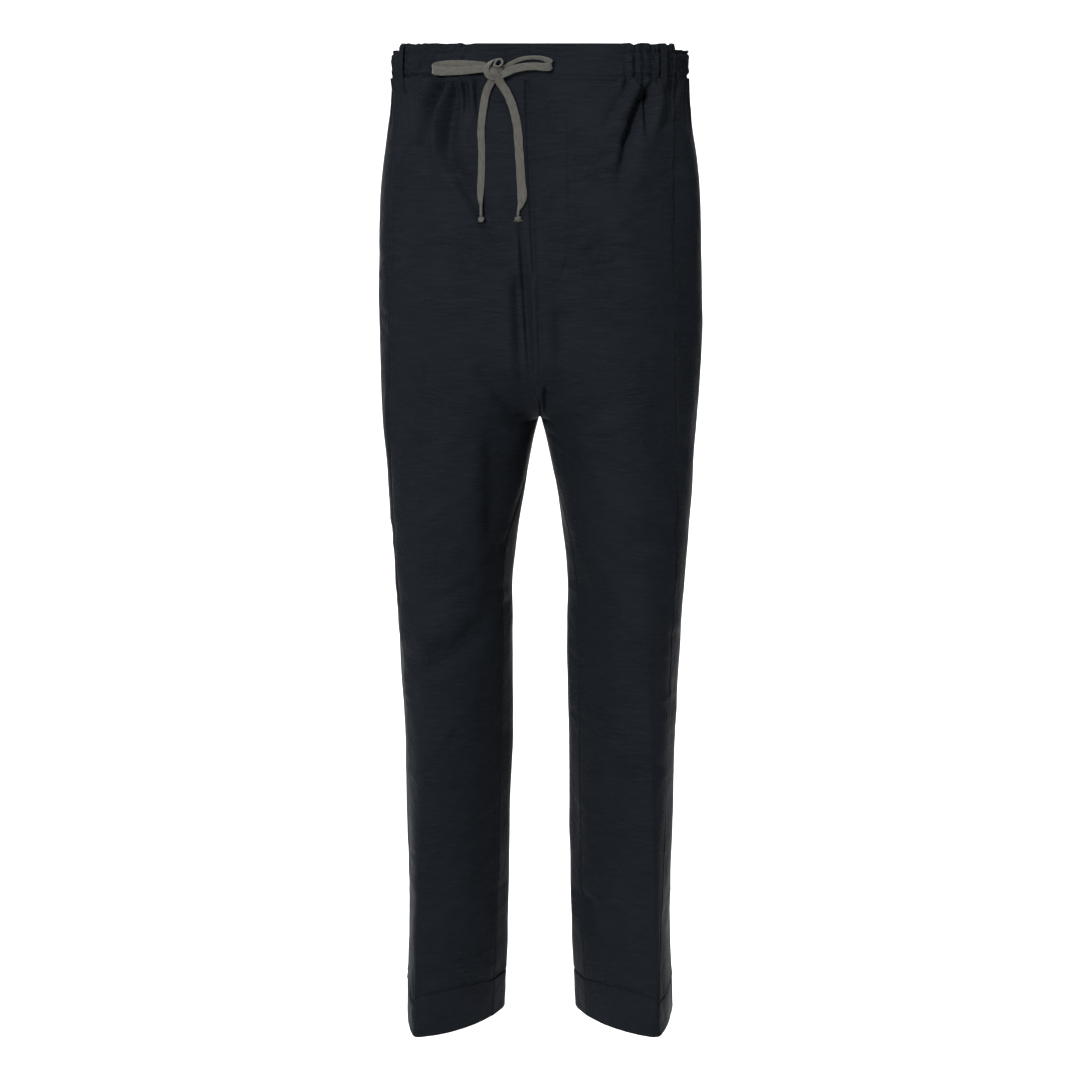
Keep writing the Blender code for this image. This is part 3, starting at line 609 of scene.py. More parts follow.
def surface(side, around, z):
    """Points of the tube. around counts quarters from the middle of the front to the middle of the back."""
    around, z = np.broadcast_arrays(np.asarray(around, float), np.asarray(z, float))
    around = np.where((around > 4.0) & (z < FORK_Z), around - 4.0, np.clip(around, 0.0, 4.0))
    form = form_at(z)
    inn = inner_edge(form)
    quarter = np.clip(np.floor(around).astype(int), 0, 3)
    on_back = quarter >= 2
    on_outer = (quarter == 1) | (quarter == 2)
    part = around - quarter
    turn = np.where(on_back, 1.0 - part, part) * math.pi / 2
    crown = np.where(
        on_back,
        inn + np.minimum(form["crown"] + BACK_CROWN, BACK_CROWN_MOST) * (form["out"] - inn),
        inn + form["crown"] * (form["seam_" + side] - inn),
    )
    depth = np.where(on_back, form["back"], form["front"])
    press = np.where(on_back, 1.0 + BACK_PRESS * (form["corner"] - 1.0), form["corner"])
    rise = np.where(on_back, BACK_RISE, FRONT_RISE)
    climb = np.clip((z - FORK_Z) / rise, 0.0, 1.0)
    sine, cosine = np.abs(np.sin(turn)), np.abs(np.cos(turn))
    x_inner = inn + (crown - inn) * (1.0 - cosine**press)
    at_seam = bell(x_inner, FORK_REACH)
    round_rise = np.sqrt(1.0 - (1.0 - climb) ** 2)
    soft_rise = (1.0 - (1.0 - climb) ** 2) * smooth_step(FORK_EASE + climb / FORK_SOFT)
    share = at_seam * round_rise + (1.0 - at_seam) * soft_rise
    fork_y = form_at(np.array([FORK_Z]))["widest"][0]
    middle = np.where(z >= FORK_Z, fork_y + (depth - fork_y) * share, form["widest"])
    valley = np.where(z >= FORK_Z, press + 2.0 * climb, press)
    y_inner = middle + (depth - middle) * sine**valley
    x_outer = crown + (form["out"] - crown) * sine**press
    y_outer = form["widest"] + (depth - form["widest"]) * cosine**press
    x = np.where(on_outer, x_outer, x_inner) * SIDES[side]
    y = np.where(on_outer, y_outer, y_inner)
    lean = -FLY_LEAN * smooth_step((z - FLY_LEAN_END_Z) / (BAND_TOP - FLY_LEAN_END_Z))
    inside = 1.0 - np.clip(np.abs(x) / form["out"], 0.0, 1.0) ** 2
    forward = np.clip(y / form["front"], 0.0, 1.0)
    return np.stack([x + lean * inside**2 * forward, y, z], axis=-1)


def seam_places(side, z):
    """Where the inner edge and the side seam lie, counted in quarters."""
    form = form_at(z)
    inn = inner_edge(form)
    crown = inn + form["crown"] * (form["seam_" + side] - inn)
    share = np.clip((form["seam_" + side] - crown) / (form["out"] - crown), 0.0, 1.0)
    turn = np.arcsin(share ** (1.0 / form["corner"])) / (math.pi / 2)
    return INSEAM_TURN * smooth_step((FORK_Z - z) / INSEAM_TURN_DROP), 1.0 + turn


# The panels' rows and columns, and how the hem's stitches rise from the side seam to the inner edge
PANEL_TUCK = 0.002
HIP_Z = -0.20
FINE_STEPS = 400
TORSO_ROWS = 112
FORK_ROWS = 34
LEG_ROWS = 244
PANEL_COLUMNS = {"front": 148, "back": 168}
EDGE_COLUMNS = (0.0, 0.0018, 0.0036, 0.0062, 0.0095)
HEM_TURN_ROWS = 6
HEM_CLEAR = 0.0050
HEM_LIFT = 0.0060
HEM_ARCH = 0.0085
HEM_ROWS = (-0.0034, -0.0024, -0.0016, -0.0010, -0.0005, 0.0, 0.0005, 0.0010, 0.0016, 0.0024, 0.0034)
HEM_INSIDE_ROWS = 8
HEM_RISE_START = 0.034
HEM_RISE_TOP = 0.060
HEM_RISE_FADE = 0.052


def row_heights():
    """The heights of a panel's rows at its inner edge and at the side seam."""
    turn = np.linspace(0.0, math.pi / 2, FORK_ROWS + 1)
    under = (FORK_Z + FRONT_RISE * (1.0 - np.cos(turn)))[::-1]
    torso = np.linspace(BAND_BOTTOM + PANEL_TUCK, under[0], TORSO_ROWS + 1)
    leg = np.linspace(0.0, 1.0, LEG_ROWS + 1) ** LEG_SPREAD
    side_fork = FORK_Z - FORK_SIDE_DROP
    inner_leg = FORK_Z + (HEM_Z - FORK_Z) * leg
    side_leg = side_fork + (HEM_Z - side_fork) * leg
    stitched = HEM_Z + HEM_DEPTH
    above, below = inner_leg > stitched + HEM_CLEAR, inner_leg < stitched - HEM_CLEAR
    close = stitched - np.array(HEM_ROWS)
    inner_leg = np.concatenate([inner_leg[above], close, inner_leg[below]])
    side_leg = np.concatenate([side_leg[above], close, side_leg[below]])
    side_under = np.linspace(under[0], side_fork, FORK_ROWS + 1)
    inner = np.concatenate([torso, under[1:], inner_leg[1:]])
    return inner, np.concatenate([torso, side_under[1:], side_leg[1:]])


def panel_columns(side, face):
    """Shares of the panel's width, evenly spread over the cloth at the hip, and close at both edges."""
    z = np.full(FINE_STEPS, HIP_Z)
    first, last = panel_span(side, face, z)
    share = np.linspace(0.0, 1.0, FINE_STEPS)
    lengths = lengths_along(surface(side, first + share * (last - first), z))
    even = np.interp(np.linspace(0.0, lengths[-1], PANEL_COLUMNS[face]), lengths, share)
    edge = np.array(EDGE_COLUMNS)
    middle = even[(even > 1.6 * edge[-1]) & (even < 1.0 - 1.6 * edge[-1])]
    return np.concatenate([edge, middle, 1.0 - edge[::-1]])


def fold_profile(points, fold):
    """The height of one fold at each point seen from the front, in x and z."""
    start, bend, end, size, width = fold
    t = np.linspace(0.0, 1.0, FOLD_SAMPLES + 1)[:, None]
    line = (1 - t) ** 2 * np.array(start) + 2 * t * (1 - t) * np.array(bend) + t**2 * np.array(end)
    low, high = line.min(axis=0) - FOLD_REACH * width, line.max(axis=0) + FOLD_REACH * width
    near = np.nonzero(((points > low) & (points < high)).all(axis=1))[0]
    height = np.zeros(len(points))
    if len(near) == 0:
        return height
    step = np.diff(line, axis=0)
    away = points[near, None, :] - line[None, :-1, :]
    part = np.clip((away * step).sum(axis=2) / (step**2).sum(axis=1), 0.0, 1.0)
    rest = away - part[..., None] * step
    distance = np.linalg.norm(rest, axis=2)
    nearest = distance.argmin(axis=1)
    pick = np.arange(len(near))
    along = (nearest + part[pick, nearest]) / FOLD_SAMPLES
    turned = step[nearest, 0] * rest[pick, nearest, 1] - step[nearest, 1] * rest[pick, nearest, 0]
    lean = FOLD_LEAN * np.tanh(4.0 * turned / (width * width))
    reach = distance[pick, nearest] / (width * (1.0 + lean))
    tail = FOLD_TAIL + (1.0 - FOLD_TAIL) * smooth_step((1.0 - along) * FOLD_TAIL_PACE)
    fade = smooth_step(FOLD_HEAD + along * FOLD_HEAD_PACE) * tail
    height[near] = size * fade * (bell(reach, 1.0) - FOLD_SHOULDER * bell(reach - FOLD_SHOULDER_PLACE, 1.0))
    return height


def small_folds(seed, count, box, slant, length, size, width):
    """Short uneven creases over a box of x and z, leaning by about slant from level."""
    draw = np.random.default_rng(seed)
    folds = []
    for _ in range(count):
        x, z = draw.uniform(box[0], box[1]), draw.uniform(box[2], box[3])
        reach = draw.uniform(*length) / 2
        angle = slant + draw.normal(0.0, CREASE_TURN)
        dx, dz = reach * math.cos(angle), reach * math.sin(angle)
        bow = draw.normal(0.0, CREASE_BOW) * reach
        tall = draw.uniform(*size) * draw.choice((-1.0, 1.0), p=CREASE_ODDS)
        bend = (x - bow * math.sin(angle), z + bow * math.cos(angle))
        folds.append(((x - dx, z - dz), bend, (x + dx, z + dz), tall, draw.uniform(*width)))
    return folds


# Where small creases lie: a seed, how many, the box in x and z, the slant, and between which values their
# lengths, heights and widths are drawn
FRONT_CREASES = (
    (11, 46, (-0.155, -0.02, -0.30, -0.07), 0.25, (0.02, 0.06), (0.0003, 0.0009), (0.003, 0.007)),
    (12, 60, (0.01, 0.155, -0.30, -0.05), -0.15, (0.02, 0.06), (0.0003, 0.0009), (0.003, 0.007)),
    (13, 34, (0.02, 0.10, -0.25, -0.06), 0.0, (0.015, 0.05), (0.0005, 0.0011), (0.0026, 0.005)),
    (14, 70, (-0.15, -0.03, -0.98, -0.32), 0.35, (0.02, 0.07), (0.0003, 0.0009), (0.003, 0.008)),
    (15, 70, (0.03, 0.15, -0.98, -0.32), -0.30, (0.02, 0.07), (0.0003, 0.0009), (0.003, 0.008)),
)
BACK_CREASES = (
    (21, 110, (-0.16, 0.16, -0.34, -0.05), 0.0, (0.02, 0.07), (0.0003, 0.0009), (0.003, 0.008)),
    (22, 80, (-0.15, -0.03, -0.98, -0.36), 0.25, (0.02, 0.08), (0.0003, 0.0011), (0.003, 0.009)),
    (23, 80, (0.03, 0.15, -0.98, -0.36), -0.25, (0.02, 0.08), (0.0003, 0.0011), (0.003, 0.009)),
)


def every_fold(folds, creases):
    return [*folds, *(fold for patch in creases for fold in small_folds(*patch))]


# Every fold, and which way along y the cloth that it lies on faces
FOLDS = ((-1.0, every_fold(FRONT_FOLDS, FRONT_CREASES)), (1.0, every_fold(BACK_FOLDS, BACK_CREASES)))


def fold_heights(points):
    """How far the folds move the cloth out at each point."""
    z = points[:, 2]
    widest = form_at(z)["widest"]
    height = np.zeros(len(points))
    for facing, folds in FOLDS:
        weight = smooth_step((points[:, 1] - widest) * facing / FOLD_FADE)
        seen = np.nonzero(weight > 0.0)[0]
        plan = points[seen][:, [0, 2]]
        height[seen] += weight[seen] * sum(fold_profile(plan, fold) for fold in folds)
    return height * smooth_step((BAND_BOTTOM - z) / FOLD_START)


# The gathers under the waistband: what the widths, lengths and heights are drawn from, the steps from one
# to the next, how they lean and widen on their way down, and the fine crinkle along the seam
GATHER_PLAIN_EDGE = 0.004
GATHER_WIDTHS = (0.0016, 0.0034)
GATHER_LENGTHS = (0.014, 0.066)
GATHER_SIZES = (0.0020, 0.0044)
GATHER_STEPS = (0.0046, 0.0090)
GATHER_LEAN = 0.12
GATHER_WIDENING = 12.0
GATHER_START = 0.010
CRINKLE_SIZE = 0.0012
CRINKLE_PITCH = 0.0034
CRINKLE_LENGTH = 0.02
CRINKLE_REACH = 0.007


def gather_heights(side, face, lengths, drop, seed):
    """Small upright folds that run down from the gathered waistband, each to its own length."""
    draw = np.random.default_rng(seed)
    plain = BANDS[side][2] + GATHER_PLAIN_EDGE if face == "front" else 0.0
    widest = lengths.max()
    height = np.zeros_like(lengths)
    place = plain
    while place < widest:
        width = draw.uniform(*GATHER_WIDTHS)
        long = draw.uniform(*GATHER_LENGTHS)
        size = draw.uniform(*GATHER_SIZES)
        centre = place + draw.normal(0.0, GATHER_LEAN) * drop
        fade = np.clip(1.0 - drop / long, 0.0, 1.0) ** 1.3
        height += size * bell(lengths - centre, width * (1.0 + GATHER_WIDENING * drop)) * fade
        place += draw.uniform(*GATHER_STEPS)
    gathered = smooth_step((lengths - plain) / GATHER_START)
    crinkle = soft_noise(lengths / CRINKLE_PITCH, drop / CRINKLE_LENGTH, seed + 1)
    return height + CRINKLE_SIZE * gathered * crinkle * np.exp(-drop / CRINKLE_REACH)


def from_inner_edge(columns, face):
    """The shares of a panel's width, counted from its inner edge."""
    return columns if face == "front" else 1.0 - columns


def hem_rise(columns, face):
    """How much higher than at the side seam the hem's stitches lie at each column."""
    share = from_inner_edge(columns, face)
    arch = 4.0 * HEM_ARCH * share * (1.0 - share) if face == "front" else 0.0
    return HEM_LIFT * (1.0 - share) + arch


def panel_span(side, face, z):
    """Where a panel starts and ends round the tube, counted in quarters."""
    inner, seam = seam_places(side, z)
    return (inner, seam) if face == "front" else (seam, 4.0 + inner)


def panel_grid(side, face):
    """How the panel's columns lie, its points before it is folded, and its directions out."""
    columns = panel_columns(side, face)
    inner_rows, side_rows = row_heights()
    share = smooth_step(from_inner_edge(columns, face))
    z = inner_rows[:, None] + (side_rows - inner_rows)[:, None] * share[None, :]
    below_fade = smooth_step((HEM_Z + HEM_DEPTH + HEM_RISE_TOP - z) / HEM_RISE_FADE)
    near_hem = smooth_step((z - HEM_Z) / HEM_RISE_START) * below_fade
    z = z + hem_rise(columns, face)[None, :] * near_hem
    first, last = panel_span(side, face, z)
    base = surface(side, first + columns[None, :] * (last - first), z)
    across, down = np.gradient(base, axis=1), np.gradient(base, axis=0)
    return columns, base, unit(np.cross(down, across)) * SIDES[side]


def edge_distance(base):
    """How far each point lies from the first and from the last edge of its row."""
    steps = np.linalg.norm(np.diff(base, axis=1), axis=2)
    along = np.concatenate([np.zeros((len(base), 1)), np.cumsum(steps, axis=1)], axis=1)
    return along, along[:, -1:] - along


# The fly's curved stitches, in x and z
FLY_STITCH = (
    (0.0265, -0.055), (0.0275, -0.110), (0.0280, -0.160),
    (0.0255, -0.190), (0.0170, -0.211), (0.0015, -0.222),
)
# The pocket mouths, the seams and the fly
POCKET_TOP = -0.034
POCKET_END = -0.178
POCKET_SOFT_TOP = 0.012
POCKET_SOFT_END = 0.030
SEAM_SINK = 0.0011
SEAM_WIDTH = 0.0016
SEAM_HOLD = 0.005
INSEAM_SHARE = 0.6
HEM_STITCH = 0.0062
HEM_CLOTH = 0.0013
FLY_END = -0.222
FLY_LAP = 0.0026
# The lap's rows: the shares of its width and of its lift
FLY_LAP_ROWS = ((1.0, 0.0), (0.92, 0.8), (0.75, 1.0), (0.4, 1.0))
FLY_LIFT = 0.0014
# The groove beside the lap on the right front, and the raised edge of the left one
FLY_GROOVE = 0.0022
FLY_GROOVE_PLACE = FLY_LAP + 0.0007
FLY_GROOVE_WIDTH = 0.0012
FLY_EDGE = 0.0011
FLY_EDGE_REACH = 0.012
FLY_FILL = 0.9
FLY_SOFT_END = 0.012
FLY_FADE = 0.02
# How the open pocket mouths stand out, and the seams' pucker
POCKET_LIFT = 0.0017
POCKET_REACH = 0.010
PUCKER_HEIGHT = 0.0005
PUCKER_PITCH = 0.009
PUCKER_REACH = 0.006
# The swells of the loose cloth: the reach across and down, a shift of each, the height and the seed
SWELLS = ((0.055, 0.090, 7.0, 0.0, 0.0016, 41), (0.024, 0.034, 0.0, 3.0, 0.0006, 42))
SWELL_START = 0.03
# The hem: its puckers above the stitches, its slanting ropes below them, and the dip of the stitches
HEM_PUCKER = 0.0013
HEM_PUCKER_PITCH = 0.0058
HEM_PUCKER_TOP = 0.003
HEM_PUCKER_REACH = (0.006, 0.010)
HEM_REACH_PITCH = 0.013
HEM_DRIFT_PITCH = 0.05
HEM_ROPE = 0.00012
HEM_ROPE_PITCH = 0.017
HEM_ROPE_SLANT = 0.6
HEM_DIP = 0.0017
HEM_DIP_WIDTH = 0.0013
PANEL_SEEDS = {("left", "front"): 0, ("left", "back"): 50, ("right", "front"): 100, ("right", "back"): 150}


def seam_sink(distance, z, seed):
    """The dip along a seam, with a slight pucker."""
    pucker = 0.22 * line_noise(z / PUCKER_PITCH, seed)
    return -SEAM_SINK * bell(distance, SEAM_WIDTH) + PUCKER_HEIGHT * pucker * np.exp(-distance / PUCKER_REACH)


def hem_puckers(along, above_hem, seed):
    """The cloth drawn up by the hem's stitches: puckers above them, and slanting ropes below."""
    pucker = line_noise(along / HEM_PUCKER_PITCH, 45 + seed, 2.0)
    low, high = HEM_PUCKER_REACH
    reach = low + high * line_noise(along / HEM_REACH_PITCH, 47 + seed, 6.0) ** 2
    height = HEM_PUCKER * pucker * np.exp(-np.abs(above_hem - HEM_PUCKER_TOP) / reach)
    drift = 2.5 * line_noise(along / HEM_DRIFT_PITCH, 46 + seed)
    turn = 2 * math.pi * (along + HEM_ROPE_SLANT * above_hem) / HEM_ROPE_PITCH + drift
    return height + HEM_ROPE * np.sin(turn) * smooth_step(-above_hem / 0.01)


def fly_height(side, inner_side, z):
    """The groove beside the fly's edge on the right front, and the raised edge on the left one."""
    fly = smooth_step((z - FLY_END) / FLY_SOFT_END)
    if side == "right":
        return -FLY_GROOVE * fly * bell(inner_side - FLY_GROOVE_PLACE, FLY_GROOVE_WIDTH)
    edge = FLY_EDGE * bell(inner_side, FLY_EDGE_REACH) + FLY_FILL * SEAM_SINK * bell(inner_side, SEAM_WIDTH)
    return fly * edge


def folded_panel(side, face):
    """The panel's cloth down to the hem's edge, with its folds, gathers, seams and hem."""
    columns, base, normal = panel_grid(side, face)
    along, back_along = edge_distance(base)
    z = base[..., 2]
    inner_side, seam_side = (along, back_along) if face == "front" else (back_along, along)
    seed = PANEL_SEEDS[side, face]
    drop = np.maximum(BAND_BOTTOM - z, 0.0)
    above_hem = z - (HEM_Z + HEM_DEPTH) - hem_rise(columns, face)[None, :]
    swell = sum(
        size * soft_noise(along / wide + shift, z / tall + rise, start + seed)
        for wide, tall, shift, rise, size, start in SWELLS
    )
    loose = gather_heights(side, face, along, drop, 31 + seed) + swell * smooth_step(drop / SWELL_START)
    loose += hem_puckers(along, above_hem, seed)
    held = (1.0 - bell(inner_side, SEAM_HOLD)) * (1.0 - bell(seam_side, SEAM_HOLD))
    height = fold_heights(base.reshape(-1, 3)).reshape(z.shape) + loose * held
    dimple = 0.8 + 0.2 * np.sin(2 * math.pi * along / HEM_STITCH)
    height -= HEM_DIP * dimple * bell(above_hem, HEM_DIP_WIDTH)
    height += INSEAM_SHARE * seam_sink(inner_side, z, 43)
    height += seam_sink(seam_side, z, {"left": 44, "right": 45}[side])
    if face == "front":
        height += POCKET_LIFT * pocket_opening(z) * np.exp(-seam_side / POCKET_REACH)
        height += fly_height(side, inner_side, z)
    return base + normal * height[..., None], normal


def pocket_opening(z):
    """How far the side seam stands open at each height, from 0 to 1."""
    return smooth_step((POCKET_TOP - z) / POCKET_SOFT_TOP) * smooth_step((z - POCKET_END) / POCKET_SOFT_END)


def join_edges(pieces, share):
    """Brings the edges of two or more pieces to their mean line, and eases the cloth beside them along."""
    edges = [cloth[:, column] for cloth, column in pieces]
    target = sum(edges) / len(edges)
    for (cloth, column), edge in zip(pieces, edges):
        away = np.linalg.norm(cloth - edge[:, None], axis=2)
        weight = share[:, None] * bell(away, SEAM_HOLD)
        cloth += (target - edge)[:, None] * weight[..., None]


def fold_panels():
    """All four panels, with every seam's two edges joined."""
    for side in SIDES:
        for face in ("front", "back"):
            CLOTHS[side, face] = folded_panel(side, face)
    inner_rows, side_rows = row_heights()
    above_fork = (inner_rows >= FORK_Z).astype(float)
    for face, column in (("front", 0), ("back", -1)):
        closed = 1.0 - smooth_step((inner_rows - FLY_END) / FLY_FADE) if face == "front" else 1.0
        joined = above_fork * closed
        join_edges([(CLOTHS[side, face][0], column) for side in SIDES], joined)
    for side in SIDES:
        front, back = CLOTHS[side, "front"][0], CLOTHS[side, "back"][0]
        join_edges([(front, 0), (back, -1)], (inner_rows <= FORK_Z).astype(float))
        join_edges([(front, -1), (back, 0)], 1.0 - pocket_opening(side_rows))


def with_hem(cloth, normal):
    """Turns the cloth under at the hem's edge and takes it up inside to the stitches."""
    out = unit(normal[-1] * np.array([1.0, 1.0, 0.0]))
    stitched = np.searchsorted(-row_heights()[0], -(HEM_Z + HEM_DEPTH))
    inside_rows = np.linspace(len(cloth) - 1, stitched, HEM_INSIDE_ROWS)[1:].astype(int)
    inside = [cloth[row] - unit(normal[row]) * HEM_CLOTH for row in inside_rows]
    return np.array([*cloth, *turned_edge(cloth[-1], out, HEM_CLOTH, HEM_TURN_ROWS, -1), *inside])


def with_fly_lap(cloth, wide):
    """Adds to a left piece the narrow strip that laps over the right one at the fly."""
    edge = cloth[:, 0]
    strips = []
    for share, lift in FLY_LAP_ROWS:
        over = np.array([-FLY_LAP * share, -FLY_LIFT * lift, 0.0])
        strips.append((edge + wide * over)[:, None])
    return np.concatenate([*strips, cloth], axis=1)


# Each panel's folded cloth and its directions out, and the same for each piece of the waistband
CLOTHS = {}
BAND_CLOTHS = {}


def add_panel(side, face):
    cloth, normal = CLOTHS[side, face]
    grid = with_hem(cloth, normal)
    if (side, face) == ("left", "front"):
        wide = smooth_step((grid[:, 0, 2] - FLY_END) / FLY_FADE)[:, None]
        wide[len(cloth):] = 0.0
        grid = with_fly_lap(grid, wide)
    made = add_grid(f"{face}_cloth_{side}", f"{face}_panel_{side}", grid, turned=side == "right")


def gather_wave(distance, phase):
    """Uneven gathers along the ring: the height, in shares of GATHER_HEIGHT, at each distance."""
    drift = sum(much * np.sin(distance * rate + phase) for rate, much in GATHER_DRIFTS)
    rate, much = GATHER_SWELL
    swell = 1.0 - much + much * np.sin(distance * rate + phase)
    return swell * np.sin(2.0 * math.pi * distance / GATHER_PITCH + drift)


# The waistband's rows and steps, and how it stands off the tube
RING_STEPS = 500
BAND_STEP = 0.0011
BAND_ROWS = 26
BAND_ROOT = BAND_BOTTOM - 0.0005
BAND_STAND = BAND_LIFT + 0.0003
BAND_FOLD = 0.0020
# The short upright crease below the tunnel beside the fly, on the left piece
FLY_CREASE = 0.0006
FLY_CREASE_TOP = -0.0075
FLY_CREASE_PLACE = 0.0175
FLY_CREASE_WIDTH = 0.0008
# Where the gathers start, and the seeds, heights and pitches of the creases between them
BAND_START = 0.012
BAND_SEEDS = {"left": 61, "right": 62, "back": 63}
BAND_FINE = 0.0016
BAND_FINE_PITCH = 0.0024
BAND_CREASES = 0.0011
BAND_CREASES_PITCH = 0.0042
BAND_SWELL = 0.00025
BAND_SWELL_PITCH = 0.030
BAND_EDGE = 0.0011
BAND_EDGE_PITCH = 0.0052
BAND_EDGE_DROP = 0.0003
BAND_TURN_ROWS = 6
# The lace's tunnel, and the dips of its two rows of stitches and of the seam to the panels
TUNNEL_TOP = 0.0075
TUNNEL_BOTTOM = -0.0146
TUNNEL_SOFT = 0.004
TUNNEL_LIFT = 0.0006
TUNNEL_DIPS = (0.0007, 0.0009)
TUNNEL_DIP_WIDTH = 0.0011
ROOT_DIP = 0.0012
ROOT_DIP_WIDTH = 0.0018


def ring_line(span, z):
    """Points of the waist ring over a span at one height, at a fine pitch."""
    share = np.linspace(0.0, 1.0, RING_STEPS)
    level = np.full(RING_STEPS, z)
    if span in SIDES:
        return surface(span, share * seam_places(span, level)[1], level)
    halves = []
    for side in SIDES:
        seam = seam_places(side, level)[1]
        halves.append(surface(side, seam + share * (4.0 - seam), level))
    return np.vstack([halves[0], halves[1][::-1][1:]])


def at_lengths(points, wanted):
    """Points at the wanted shares of a line's length."""
    lengths = lengths_along(points)
    return between(lengths, points, wanted * lengths[-1])


def band_lift(span, z, distance, gathered):
    """How far the gathers, creases and seams move the waistband out along one row."""
    seed = BAND_SEEDS[span]
    in_tunnel = smooth_step((z - TUNNEL_BOTTOM) / TUNNEL_SOFT) * smooth_step((TUNNEL_TOP - z) / TUNNEL_SOFT)
    header = smooth_step((z - TUNNEL_TOP) / TUNNEL_SOFT)
    uneven = 0.75 + 0.45 * line_noise(distance / 0.017, seed + 7, z / 0.012)
    swelling = 0.45 + 0.25 * in_tunnel + 0.35 * header
    wave = gather_wave(distance, BANDS[span][3]) * GATHER_HEIGHT * uneven * swelling
    fine = line_noise(distance / BAND_FINE_PITCH + 0.9 * z / 0.01, seed, z / 0.013) * BAND_FINE
    crease = line_noise((distance + 0.7 * z) / BAND_CREASES_PITCH + 5.0, seed + 5, z / 0.0050) * BAND_CREASES
    lift = gathered * (wave + fine * (0.6 + 0.8 * header) + crease + TUNNEL_LIFT * in_tunnel)
    lift += (1.0 - gathered) * line_noise(distance / BAND_SWELL_PITCH, seed + 9, z / 0.008) * BAND_SWELL
    if span == "left":
        below = smooth_step((FLY_CREASE_TOP - z) / 0.003)
        lift -= FLY_CREASE * below * bell(distance - FLY_CREASE_PLACE, FLY_CREASE_WIDTH)
    lift -= TUNNEL_DIPS[0] * bell(z - TUNNEL_BOTTOM, TUNNEL_DIP_WIDTH)
    lift -= TUNNEL_DIPS[1] * gathered * bell(z - TUNNEL_TOP, TUNNEL_DIP_WIDTH)
    return lift - ROOT_DIP * bell(z - BAND_ROOT, ROOT_DIP_WIDTH)


def band_grid(span):
    """The waistband piece: its outside from the seam up, over the top and a little way down inside."""
    _, top, plain, _ = BANDS[span]
    length = lengths_along(ring_line(span, 0.0))[-1]
    share = np.linspace(0.0, 1.0, int(length / BAND_STEP))
    distance = share * length
    turn = -SIDES[span] if span in SIDES else -1
    gathered = smooth_step((distance - plain) / BAND_START) if plain else np.ones_like(distance)
    rows, outs = [], []
    heights = np.linspace(BAND_ROOT, top, BAND_ROWS)
    for z in heights:
        line = at_lengths(ring_line(span, z), share)
        tangent = np.gradient(line, axis=0)
        out = unit(np.column_stack([-tangent[:, 1], tangent[:, 0], np.zeros(len(tangent))])) * turn
        rows.append(line + out * (BAND_STAND + band_lift(span, z, distance, gathered))[:, None])
        outs.append(out)
    rows = np.array(rows)
    wave = BAND_EDGE * line_noise(distance / BAND_EDGE_PITCH, BAND_SEEDS[span] + 3) - BAND_EDGE_DROP
    near_top = smooth_step((heights - TUNNEL_TOP) / (top - TUNNEL_TOP))
    rows[:, :, 2] += near_top[:, None] * gathered * wave
    fold = turned_edge(rows[-1], outs[-1], BAND_FOLD, BAND_TURN_ROWS, 1)
    inside = [rows[row] - outs[row] * BAND_FOLD for row in range(BAND_ROWS - 2, -1, -2)]
    return np.array([*rows, *fold, *inside]), np.array(outs)


def add_waistband(span):
    grid, outs = band_grid(span)
    BAND_CLOTHS[span] = (grid, outs)
    if span == "left":
        grid = with_fly_lap(grid, np.ones((len(grid), 1)))
    name = BANDS[span][0]
    made = add_grid(name + "_cloth", name, grid, turned=span in ("left", "back"))


# Stitches and belt loops


STITCH_SIDES = 6
STITCH_PITCH = 0.0031
STITCH_LENGTH = 0.0025
STITCH_RADIUS = 0.00026
# The rings of a stitch and of a tack's thread: the share of its length, its width and its height
STITCH_SHAPE = (
    (-0.50, 0.25, -0.55), (-0.38, 0.80, 0.35), (0.0, 1.0, 0.62), (0.38, 0.80, 0.35), (0.50, 0.25, -0.55),
)
TACK_SHAPE = ((0.0, 0.3, -0.4), (0.2, 1.0, 0.5), (0.8, 1.0, 0.5), (1.0, 0.3, -0.4))
TACK_THREADS = 15
TACK_LENGTH = 0.0075
TACK_REACH = 0.00144
TACK_RADIUS = 0.00028
TACK_STAND = 0.0001


def thread_rings(place, shape, ahead, out, radius):
    """The rings of one short thread. place gives the point at a share of its length."""
    turn = full_turn(STITCH_SIDES)
    across = unit(np.cross(ahead, out))
    ring = across[None] * np.cos(turn)[:, None] + out[None] * np.sin(turn)[:, None]
    return [place(share) + out * radius * high + ring * radius * wide for share, wide, high in shape]


def add_threads(name, threads, material="thread", slot="cloth", falling=False):
    """One mesh of many short threads, each given as its rings. Falling ones have their faces turned about."""
    faces, count = [], 0
    for rings in threads:
        faces.append(grid_faces(len(rings), STITCH_SIDES, closed=True) + count)
        count += len(rings) * STITCH_SIDES
    points = np.concatenate([ring for rings in threads for ring in rings])
    faces = np.concatenate(faces)
    return add_mesh(name, points, faces[:, ::-1] if falling else faces, None, material, slot)


def stitch_line(line, outs, pitch, length, radius):
    """The threads of a row of stitches that lie along a line and dip into the cloth at their ends."""
    lengths = lengths_along(line)
    threads = []
    for start in np.arange(pitch / 2, lengths[-1] - pitch / 2, pitch):
        first, last = between(lengths, line, np.array([start - length / 2, start + length / 2]))
        out = unit(between(lengths, outs, start))

        def place(share):
            return between(lengths, line, start + share * length)

        threads.append(thread_rings(place, STITCH_SHAPE, unit(last - first), out, radius))
    return threads


def add_stitches(name, lines, pitch=STITCH_PITCH, length=STITCH_LENGTH, radius=STITCH_RADIUS):
    rows = [stitch_line(line, outs, pitch, length, radius) for line, outs in lines]
    add_threads(name, [thread for row in rows for thread in row])


